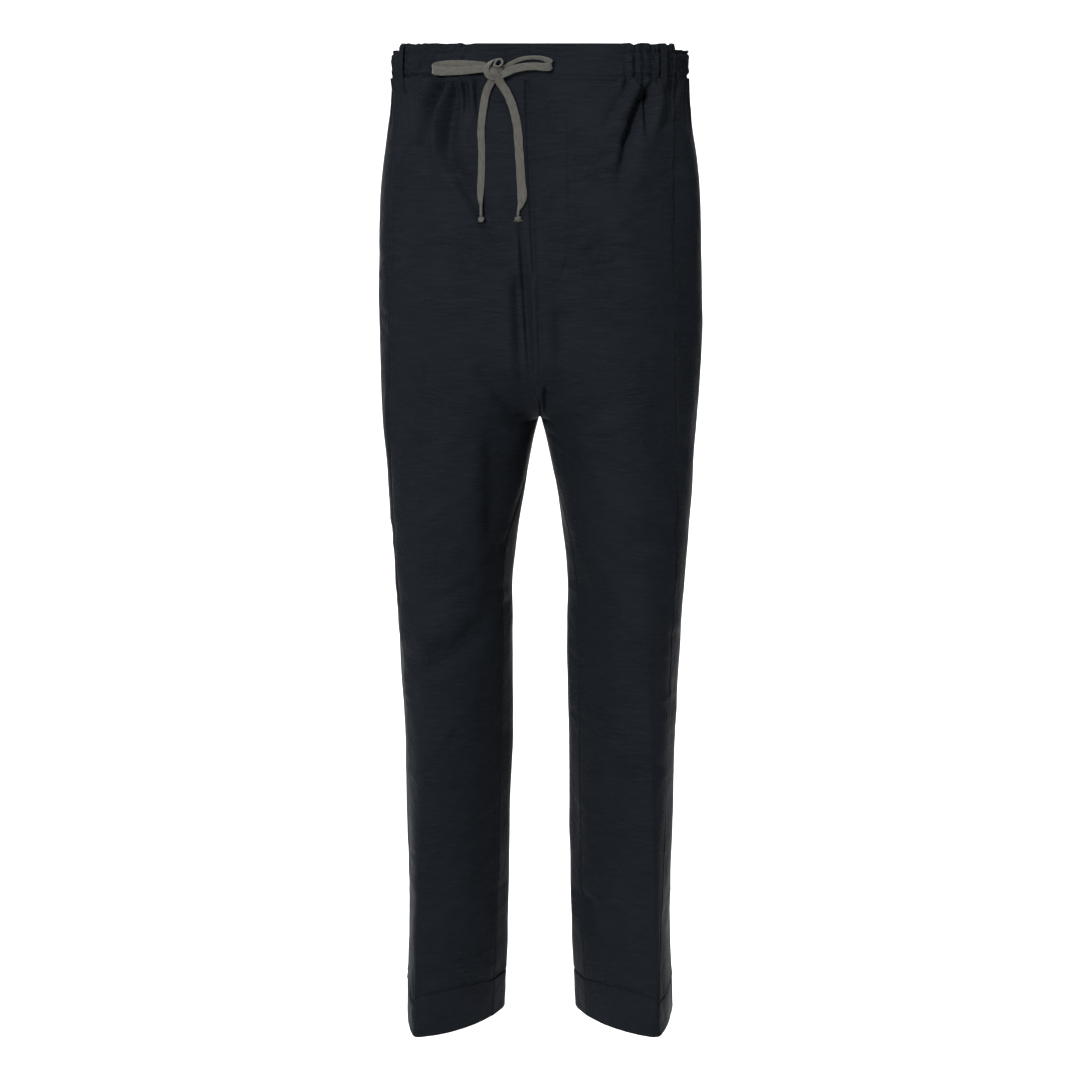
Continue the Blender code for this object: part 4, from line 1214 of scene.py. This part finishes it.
def bar_tack(at, along, across, out):
    """The threads of a bar of close stitches over a loop's end."""
    threads = []
    for k in range(TACK_THREADS):
        middle = at + along * TACK_LENGTH * ((k + 0.5) / TACK_THREADS - 0.5)
        start, end = middle + across * TACK_REACH, middle - across * TACK_REACH

        def place(share):
            return start + (end - start) * share

        threads.append(thread_rings(place, TACK_SHAPE, unit(end - start), out, TACK_RADIUS))
    return threads


NEAR_POINTS = 5


def on_grid(cloth, normal, x, z):
    """The points of a folded panel that show at an x and z from the front, and the directions out there."""
    flat = cloth.reshape(-1, 3)
    outs = normal.reshape(-1, 3)
    found, out = [], []
    for px, pz in zip(x, z):
        away = (flat[:, 0] - px) ** 2 + (flat[:, 2] - pz) ** 2
        near = np.argpartition(away, NEAR_POINTS)[:NEAR_POINTS]
        weight = 1.0 / (away[near] + 1e-8)
        weight /= weight.sum()
        point = (flat[near] * weight[:, None]).sum(axis=0)
        found.append([px, point[1], pz])
        out.append((outs[near] * weight[:, None]).sum(axis=0))
    return np.array(found), unit(np.array(out))


def smooth_route(route, step):
    """Points at even steps on a smooth curve through a route's rows."""
    rows = np.array(route, float)
    lengths = lengths_along(rows[:, :3])
    count = max(int(round(lengths[-1] / step)), 2) + 1
    return smooth_curve(rows, lengths, np.linspace(0.0, lengths[-1], count))


def hem_line(side, face):
    """Where the hem's stitches run over a panel, and the directions out there."""
    cloth, normal = CLOTHS[side, face]
    heights = HEM_Z + HEM_DEPTH + hem_rise(panel_columns(side, face), face)
    columns = range(2, cloth.shape[1] - 2)
    picked = [between(-cloth[:, c, 2], cloth[:, c], -heights[c]) for c in columns]
    outs = [between(-cloth[:, c, 2], normal[:, c], -heights[c]) for c in columns]
    return np.array(picked), unit(np.array(outs))


def band_line(span, height):
    """A line round a piece of the waistband at a height, and the directions out there."""
    grid, outs = BAND_CLOTHS[span]
    rows = grid[:BAND_ROWS]
    level = np.linspace(BAND_ROOT, BANDS[span][1], BAND_ROWS)
    row = float(np.interp(height, level, np.arange(BAND_ROWS)))
    low, part = int(row), row - int(row)
    line = rows[low] * (1 - part) + rows[low + 1] * part
    return line, outs[low]


# The stitches from the fly's end to the fork, and the column of the left front that they follow
RISE_COLUMN = 7
RISE_STEPS = 40
RISE_TOP = FLY_END - 0.004
RISE_BOTTOM = FORK_Z + 0.022
ROUTE_STEP = 0.002


def sew():
    """Every line of stitches that shows."""
    for side in SIDES:
        add_stitches(f"hem_stitches_{side}", [hem_line(side, face) for face in ("front", "back")])
    for span, (name, _, plain, _) in BANDS.items():
        lower, outs = band_line(span, TUNNEL_BOTTOM)
        upper, upper_outs = band_line(span, TUNNEL_TOP)
        keep = lengths_along(upper) > plain
        rows = [(lower[2:-2], outs[2:-2]), (upper[keep][:-2], upper_outs[keep][:-2])]
        add_stitches(name + "_stitches", rows)
    cloth, normal = CLOTHS["left", "front"]
    route = smooth_route([(x, 0.0, z) for x, z in FLY_STITCH], ROUTE_STEP)
    line, outs = on_grid(cloth[:, 2:], normal[:, 2:], route[:, 0], route[:, 2])
    add_stitches("fly_stitches", [(line, outs)])
    rise = np.linspace(RISE_TOP, RISE_BOTTOM, RISE_STEPS)
    column = cloth[:, RISE_COLUMN]
    edge = between(-column[:, 2], column, -rise)
    edge_out = np.tile(np.array([0.0, -1.0, 0.0]), (len(edge), 1))
    add_stitches("rise_stitches", [(edge, edge_out)])


# The belt loops: the side, how far from the middle and the top
LOOPS = {
    "belt_loop_left": ("left", 0.1195, BAND_TOP),
    "belt_loop_right": ("right", 0.1345, BAND_TOP),
    "belt_loop_back": ("back", 0.0, BACK_BAND_TOP),
}
# The loops' sizes, how far they stand off in front and behind and at the foot, and how they bow out
LOOP_WIDTH = 0.0090
LOOP_BOTTOM = -0.0325
LOOP_REST = {"front": 0.0026, "back": 0.0023}
LOOP_FOOT = 0.0006
LOOP_FOOT_HEIGHT = 0.0110
LOOP_BOW = 0.0014
LOOP_CLOTH = 0.0016
LOOP_SECTION = 22
LOOP_STEPS = 60
LOOP_RIPPLE = 0.00025
LOOP_EDGE = 0.36
LOOP_STITCHES = {"pitch": 0.0026, "length": 0.0021, "radius": 0.00022}
LOOP_TACKS = (0.07, 0.94)
SLOPE_REACH = 0.004
FRONT_STEPS = 360


def front_line(side, z, x):
    """The point of the tube's front at an x and height, and the level direction out."""
    around = np.linspace(0.0, 2.0, FRONT_STEPS)
    points = surface(side, around, np.full(FRONT_STEPS, z))
    across = points[:, 0] * SIDES[side]
    ahead, behind = np.interp((x + SLOPE_REACH, x - SLOPE_REACH), across, points[:, 1])
    at = np.array([x * SIDES[side], np.interp(x, across, points[:, 1]), z])
    return at, unit(np.array([SIDES[side] * (ahead - behind) / (2 * SLOPE_REACH), -1.0, 0.0]))


def pressed_ring(sides, wide_press, tall_press):
    """A ring pressed towards a flat strip: how far across and through its points lie, from -1 to 1."""
    turn = full_turn(sides)
    wide = np.sign(np.cos(turn)) * np.abs(np.cos(turn)) ** wide_press
    return wide, np.sign(np.sin(turn)) * np.abs(np.sin(turn)) ** tall_press


def loop_place(name, z):
    """Where the cloth lies behind a belt loop at a height, and the direction out."""
    side, x, _ = LOOPS[name]
    if side != "back":
        return front_line(side, z, x)
    at = surface("left", 4.0, z)
    at[0] = 0.0
    return at, np.array([0.0, 1.0, 0.0])


def add_belt_loop(name):
    """A folded strip with a row of stitches near each edge, tacked at its top and foot."""
    side, x, top = LOOPS[name]
    rest = LOOP_REST["back" if side == "back" else "front"]
    wide, thick = pressed_ring(LOOP_SECTION, 0.35, 0.7)
    wide, thick = wide * LOOP_WIDTH / 2, thick * LOOP_CLOTH / 2
    rings, coords, outs, edge_lines = [], [], [], {-1: [], 1: []}
    for share in np.linspace(0.0, 1.0, LOOP_STEPS):
        z = LOOP_BOTTOM + share * (top - LOOP_BOTTOM)
        foot = smooth_step((z - LOOP_BOTTOM) / LOOP_FOOT_HEIGHT)
        stand = LOOP_FOOT + (rest - LOOP_FOOT) * foot + LOOP_BOW * math.sin(math.pi * share)
        at, out = loop_place(name, z)
        across = np.array([-out[1], out[0], 0.0])
        ripple = LOOP_RIPPLE * line_noise(np.array([share * 9.0]), 71, x * 90.0)[0]
        pinch = 1.0 - 0.22 * bell(share - 0.06, 0.03) - 0.22 * bell(share - 0.95, 0.03)
        centre = at + out * (stand + LOOP_CLOTH / 2 + ripple)
        breadth = wide * (1.0 + 4.0 * ripple / LOOP_WIDTH)
        rings.append(centre + across * breadth[:, None] + out * (thick * pinch)[:, None])
        coords.append(np.column_stack([wide, np.full(LOOP_SECTION, z), thick]))
        for edge, line in edge_lines.items():
            line.append(centre + across * edge * LOOP_WIDTH * LOOP_EDGE + out * LOOP_CLOTH * 0.5 * pinch)
        outs.append(out)
    made = add_tube(name + "_cloth", rings, coords, "cloth", "cloth", name)
    lines = [(np.array(line), np.array(outs)) for line in edge_lines.values()]
    add_stitches(name + "_stitches", lines, **LOOP_STITCHES)
    tacks = []
    for share in LOOP_TACKS:
        k = int(share * (LOOP_STEPS - 1))
        middle = (edge_lines[-1][k] + edge_lines[1][k]) / 2
        across = unit(edge_lines[1][k] - edge_lines[-1][k])
        tacks += bar_tack(middle + outs[k] * TACK_STAND, across, np.array([0.0, 0.0, 1.0]), outs[k])
    add_threads(name + "_tacks", tacks)


def with_caps(rings):
    """The points of all rings, and the middle of the first and of the last one."""
    return np.concatenate([rings.reshape(-1, 3), rings[0].mean(axis=0)[None], rings[-1].mean(axis=0)[None]])


def add_tube(name, rings, coords, material, slot, node, falling=False):
    """A tube through its rings, with a fan over each end. A falling one has its faces turned about."""
    rings, coords = np.array(rings), np.array(coords)
    count, sides = rings.shape[:2]
    faces = grid_faces(count, sides, closed=True).tolist()
    first, end = count * sides, (count - 1) * sides
    for k in range(sides):
        ahead = (k + 1) % sides
        faces += [[first, k, ahead], [first + 1, end + ahead, end + k]]
    if falling:
        faces = [face[::-1] for face in faces]
    return add_mesh(name, with_caps(rings), faces, with_caps(coords), material, slot, node)


# The drawstring


# The lace's points round and steps along, and how it rocks and varies in width
LACE_SECTION = 20
LACE_STEP = 0.0010
KNOT_STEP = 0.0006
LACE_ROCK = 0.00022
LACE_ROCK_PITCH = 0.009
LACE_UNEVEN = 0.035
LACE_UNEVEN_PITCH = 0.006
# How thick the lace's edges are as a share of its middle, and how deep its weave's pattern reaches
LACE_EDGE = 0.62
LACE_DEPTH = 0.0008


def lace_tube(rows, flat_along, seed, thick):
    """Rings of a flat woven lace: thin edges, and never quite even."""
    centres, share = rows[:, :3], rows[:, 3]
    ahead = unit(np.gradient(centres, axis=0))
    flat = np.broadcast_to(np.array(flat_along, float), centres.shape)
    across = unit(flat - ahead * (ahead * flat).sum(axis=1, keepdims=True))
    through = np.cross(ahead, across)
    along = lengths_along(centres)
    wide, tall = pressed_ring(LACE_SECTION, 0.55, 0.75)
    uneven = 1.0 + LACE_UNEVEN * line_noise(along / LACE_UNEVEN_PITCH, seed)
    rock = LACE_ROCK * line_noise(along / LACE_ROCK_PITCH, seed, 4.0)
    half = (share * LACE_WIDTH / 2 * uneven)[:, None] * wide[None]
    edge = thick / 2 * (LACE_EDGE + (1.0 - LACE_EDGE) * np.cos(np.abs(wide) * math.pi / 2)) * tall
    plump = np.clip(1.5 - share, 0.9, 1.6)[:, None]
    rise = edge[None] * plump + rock[:, None] * wide[None]
    rings = centres[:, None] + across[:, None] * half[..., None] + through[:, None] * rise[..., None]
    return rings, np.stack(np.broadcast_arrays(along[:, None], half, tall[None] * LACE_DEPTH), axis=-1)


def add_lace(name, node, rows, flat_along, seed, thick=LACE_THICK):
    return add_tube(name, *lace_tube(rows, flat_along, seed, thick), "lace", "drawstring", node)


# The knot: the strand that wraps the bow, the small loop at its top, the strand that crosses in front and
# runs into the left tail, and the lace inside. Each row is x, y, z from the knot's middle and the share of
# the lace's width.
KNOT_WRAP = (
    (0.0022, -0.0014, 0.0096, 0.55),
    (-0.0012, -0.0036, 0.0084, 0.62),
    (-0.0044, -0.0052, 0.0060, 0.70),
    (-0.0070, -0.0058, 0.0024, 0.72),
    (-0.0077, -0.0058, -0.0010, 0.72),
    (-0.0066, -0.0056, -0.0046, 0.70),
    (-0.0034, -0.0044, -0.0080, 0.62),
    (0.0002, -0.0018, -0.0098, 0.55),
)
KNOT_STRAND = (
    (-0.0066, -0.0026, 0.0034, 0.80),
    (-0.0042, -0.0046, 0.0006, 0.92),
    (-0.0011, -0.0054, -0.0030, 1.00),
    (0.0016, -0.0042, -0.0066, 1.00),
    (0.0041, -0.0016, -0.0098, 1.00),
    (0.0064, -0.0009, -0.0130, 1.00),
)
KNOT_TOP = (
    (0.0000, -0.0040, 0.0030, 0.50),
    (0.0012, -0.0036, 0.0066, 0.50),
    (0.0036, -0.0034, 0.0094, 0.46),
    (0.0064, -0.0034, 0.0098, 0.46),
    (0.0080, -0.0032, 0.0072, 0.50),
    (0.0068, -0.0036, 0.0042, 0.50),
    (0.0034, -0.0042, 0.0026, 0.55),
    (0.0004, -0.0044, 0.0036, 0.50),
)
KNOT_CORE = (
    (-0.0062, -0.0004, 0.0004, 0.85),
    (-0.0020, -0.0010, 0.0002, 1.00),
    (0.0026, -0.0010, -0.0012, 1.00),
    (0.0076, -0.0004, -0.0022, 0.85),
)

# The knot's pieces: their names, rows, the direction that their flat side follows and their thickness
KNOT_PIECES = (
    ("knot_core", KNOT_CORE, (0.0, 0.0, 1.0), 0.0048),
    ("knot_strand", KNOT_STRAND, (1.0, 0.0, 0.0), 0.0015),
    ("knot_top", KNOT_TOP, (0.1, -1.0, 0.1), 0.0019),
    ("knot_wrap", KNOT_WRAP, (0.9, -0.5, 0.3), 0.0017),
)


def add_knot():
    pieces = []
    for name, rows, flat_along, thick in KNOT_PIECES:
        route = smooth_route(np.array(rows) + np.array([*KNOT_CENTRE, 0.0]), KNOT_STEP)
        pieces.append(add_lace("drawstring_" + name, "drawstring_knot", route, flat_along, 81, thick))
    return pieces


def bead_rings(centre, size, seed):
    """A small round knot of lace, ribbed by its turns."""
    rings, coords = [], []
    turn = full_turn(BEAD_SIDES)
    for share in np.linspace(0.03, 0.97, BEAD_STEPS):
        girth = math.sin(math.pi * share) ** 0.7
        rib = BEAD_RIB * np.sin(BEAD_RIBS * (turn + BEAD_TWIST * share))
        bulge = 1.0 + rib + 0.05 * line_noise(turn * 2.0, seed, share * 5.0)
        ring = np.column_stack([
            centre[0] + size[0] / 2 * girth * bulge * np.cos(turn),
            centre[1] + size[1] / 2 * girth * bulge * np.sin(turn),
            np.full(BEAD_SIDES, centre[2] + size[2] / 2 * math.cos(math.pi * share)),
        ])
        rings.append(ring)
        rise = np.full(BEAD_SIDES, share * size[2])
        coords.append(np.column_stack([turn * size[0] / 2, rise, np.zeros(BEAD_SIDES)]))
    return rings, coords


# The end knots: the middle and the size. The left one is a small bead over a fan of cut threads.
END_KNOTS = {
    "end_knot_left": ((-0.0216, -0.1204, -0.1535), (0.0100, 0.0046, 0.0060)),
    "end_knot_right": ((-0.0578, -0.1186, -0.1535), (0.0056, 0.0046, 0.0056)),
}
BEAD_STEPS = 26
BEAD_SIDES = 36
BEAD_RIBS = 3
BEAD_RIB = 0.11
BEAD_TWIST = 2.4
FAN_THREADS = 46
FAN_TOP = 0.0012
FAN_LENGTH = 0.0026
FAN_RISE = 0.0012
FAN_SAG = 0.0006
FAN_STRAY = 0.0003
# Half of the fan's width and depth, at its top and at its foot
FAN_WIDTHS = (0.0014, 0.0046)
FAN_DEPTHS = (0.0012, 0.0019)
FAN_BEAD = (0.55, 0.85, 0.60)
FAN_RADIUS = 0.00026
FAN_TAPER = (1.0, 1.0, 0.95, 0.9, 0.85, 0.6)


def add_fan(name, centre):
    """The cut threads under the left end knot, spread to both sides."""
    draw = np.random.default_rng(93)
    turn = full_turn(STITCH_SIDES)
    ring = np.column_stack([np.cos(turn), np.sin(turn), np.zeros(STITCH_SIDES)])
    t = np.linspace(0.0, 1.0, len(FAN_TAPER))[:, None]
    threads = []
    for spread in np.linspace(-1.0, 1.0, FAN_THREADS):
        spread += draw.normal(0.0, 0.05)
        depth = draw.normal(0.0, 0.28)
        drop = FAN_RISE * abs(spread) - FAN_LENGTH + draw.normal(0.0, FAN_STRAY)
        start = centre + np.array([spread * FAN_WIDTHS[0], depth * FAN_DEPTHS[0], FAN_TOP])
        end = centre + np.array([spread * FAN_WIDTHS[1], depth * FAN_DEPTHS[1], drop])
        middle = (start + end) / 2 + np.array([0.0, draw.normal(0.0, FAN_STRAY), -FAN_SAG])
        line = (1 - t) ** 2 * start + 2 * t * (1 - t) * middle + t**2 * end
        threads.append([point + FAN_RADIUS * wide * ring for point, wide in zip(line, FAN_TAPER)])
    return add_threads(name, threads, "lace_thread", "drawstring", falling=True)


def add_end_knot(name):
    """A tail's end knot, with the pieces that hang from it."""
    centre, size = np.array(END_KNOTS[name])
    if name == "end_knot_right":
        return [add_tube(name + "_bead", *bead_rings(centre, size, 92), "lace", "drawstring", name, True)]
    bead = bead_rings(centre + np.array([0.0, 0.0, FAN_TOP]), size * np.array(FAN_BEAD), 91)
    made = add_tube(name + "_bead", *bead, "lace", "drawstring", name, True)
    return [made, add_fan(name + "_fan", centre)]


def add_drawstring():
    knot = add_knot()
    ends = {name: add_end_knot(name) for name in END_KNOTS}
    for seed, (name, route) in enumerate(LOOP_ROUTES.items()):
        rows = smooth_route(route, LACE_STEP)
        made = add_lace(name + "_lace", name, rows, (0.0, 0.0, 1.0), 95 + seed)
    for seed, (name, route) in enumerate(TAIL_ROUTES.items()):
        rows = smooth_route(route, LACE_STEP)
        made = add_lace(name + "_lace", name, rows, (1.0, 0.0, 0.0), 97 + seed)


# The pieces behind the fronts


POCKET_BOTTOM = -0.270
UNDERLAP_BOTTOM = -0.235
INNER_DEPTH = 0.0020
INNER_CLOTH = 0.0014
INNER_SOFT = 0.0006
# The part of the front's columns that the pocket bags and the underlap lie behind
POCKET_START = 0.42
UNDERLAP_COLUMNS = slice(4, 24)
UNDERLAP_SOFT = 0.0004


def add_inner(node, cloth, normal, soft):
    """A flat piece inside the front: a closed wall made from the panel's points, moved in."""
    near = cloth - normal * (INNER_DEPTH + soft)[..., None]
    far = near - normal * INNER_CLOTH
    rows, columns = near.shape[:2]
    sheet = grid_faces(rows, columns)
    border = np.concatenate([
        np.arange(columns),
        np.arange(1, rows) * columns + columns - 1,
        (rows - 1) * columns + np.arange(columns - 2, -1, -1),
        np.arange(rows - 2, 0, -1) * columns,
    ])
    ahead = np.roll(border, -1)
    count = rows * columns
    rim = np.stack([border, ahead, ahead + count, border + count], axis=1)
    faces = np.concatenate([sheet, sheet[:, ::-1] + count, rim[:, ::-1]])
    points = np.concatenate([near.reshape(-1, 3), far.reshape(-1, 3)])
    directions = np.tile(grid_directions(near).reshape(-1, 3), (2, 1))
    made = add_mesh(node + "_cloth", points, faces, directions, "inner", "inner_cloth", node)


def add_inner_pieces():
    for side in SIDES:
        cloth, normal = CLOTHS[side, "front"]
        rows = slice(4, int((cloth[:, -1, 2] > POCKET_BOTTOM).sum()), 2)
        columns = slice(int(cloth.shape[1] * POCKET_START), -4)
        part, out = cloth[rows, columns], normal[rows, columns]
        soft = INNER_SOFT * soft_noise(part[..., 0] / 0.02, part[..., 2] / 0.03, 101) + INNER_SOFT
        add_inner(f"pocket_bag_{side}", part, out, soft)
    cloth, normal = CLOTHS["left", "front"]
    rows = slice(4, int((cloth[:, 0, 2] > UNDERLAP_BOTTOM).sum()), 2)
    part, out = cloth[rows, UNDERLAP_COLUMNS], normal[rows, UNDERLAP_COLUMNS]
    add_inner("fly_underlap", part, out, np.full(part.shape[:2], UNDERLAP_SOFT))


# The room and its light: a floor that narrows towards a wall and bends up into it. Each row of the floor
# is its half width and its place along y.
FLOOR_Z = -1.60
WALL_HALF = 1.7
BEND_START = 2.2
FLOOR_ROWS = ((6.0, -6.0), (6.0, 0.0), (1.9, 1.6), (WALL_HALF, BEND_START))
BEND_RADIUS = 1.6
BEND_STEPS = 24
WALL_TOP = 7.0
STAGE_SHADES = ((0.2, (0.90, 0.90, 0.90, 1.0)), (0.8, (0.93, 0.93, 0.93, 1.0)))


def add_stage():
    material, tree, shader = new_material("pale_floor")
    colour_ramp(tree, shader, plain_noise(tree, 3.0), STAGE_SHADES)
    set_inputs(shader, Roughness=0.9)
    MATERIALS["stage"] = material
    profile = [(half, y, 0.0) for half, y in FLOOR_ROWS]
    for angle in np.linspace(0.0, math.pi / 2, BEND_STEPS)[1:]:
        rise = BEND_RADIUS - BEND_RADIUS * math.cos(angle)
        profile.append((WALL_HALF, BEND_START + BEND_RADIUS * math.sin(angle), rise))
    profile.append((WALL_HALF, BEND_START + BEND_RADIUS, WALL_TOP))
    rows = np.array([[(x, y, z + FLOOR_Z) for x in (-half, half)] for half, y, z in profile])
    faces = grid_faces(len(rows), 2)[:, ::-1]
    add_mesh("backdrop", rows.reshape(-1, 3), faces, None, "stage", closed=False)


# The lights: each one's name, place, aim, width, height and power in watts
LIGHTS = (
    ("key_left", (-1.1, -3.1, 0.9), (0.0, 0.0, -0.58), 0.4, 0.7, 128.0),
    ("side_right", (2.3, -1.6, 0.2), (0.0, 0.0, -0.50), 0.4, 0.9, 6.0),
    ("top", (-0.2, -0.9, 2.0), (0.0, 0.0, -0.4), 1.0, 0.5, 36.0),
    ("behind", (0.5, 2.7, 1.9), (0.0, 0.0, -0.50), 1.2, 0.7, 120.0),
    ("backdrop_left", (-2.0, 0.8, 0.7), (-0.6, 3.2, -0.3), 1.2, 2.0, 74.0),
    ("backdrop_right", (2.0, 0.8, 0.7), (0.6, 3.2, -0.3), 1.2, 2.0, 78.0),
)
WORLD_STRENGTH = 0.05


def add_lights():
    for name, place, aim, wide, tall, power in LIGHTS:
        data = bpy.data.lights.new(name, "AREA")
        data.shape = "RECTANGLE"
        data.size, data.size_y, data.energy = wide, tall, power
        look_at(add_to_scene(name, data), place, aim)
    world = bpy.data.worlds.new("studio")
    world.use_nodes = True
    set_inputs(world.node_tree.nodes["Background"], Color=(1.0, 1.0, 1.0, 1.0), Strength=WORLD_STRENGTH)
    bpy.context.scene.world = world
    bpy.context.scene.view_settings.view_transform = "Standard"


add_camera()
add_drawstring()
fold_panels()
for side, face in CLOTHS:
    add_panel(side, face)
for span in BANDS:
    add_waistband(span)
for name in LOOPS:
    add_belt_loop(name)
sew()
add_inner_pieces()
add_stage()
add_lights()
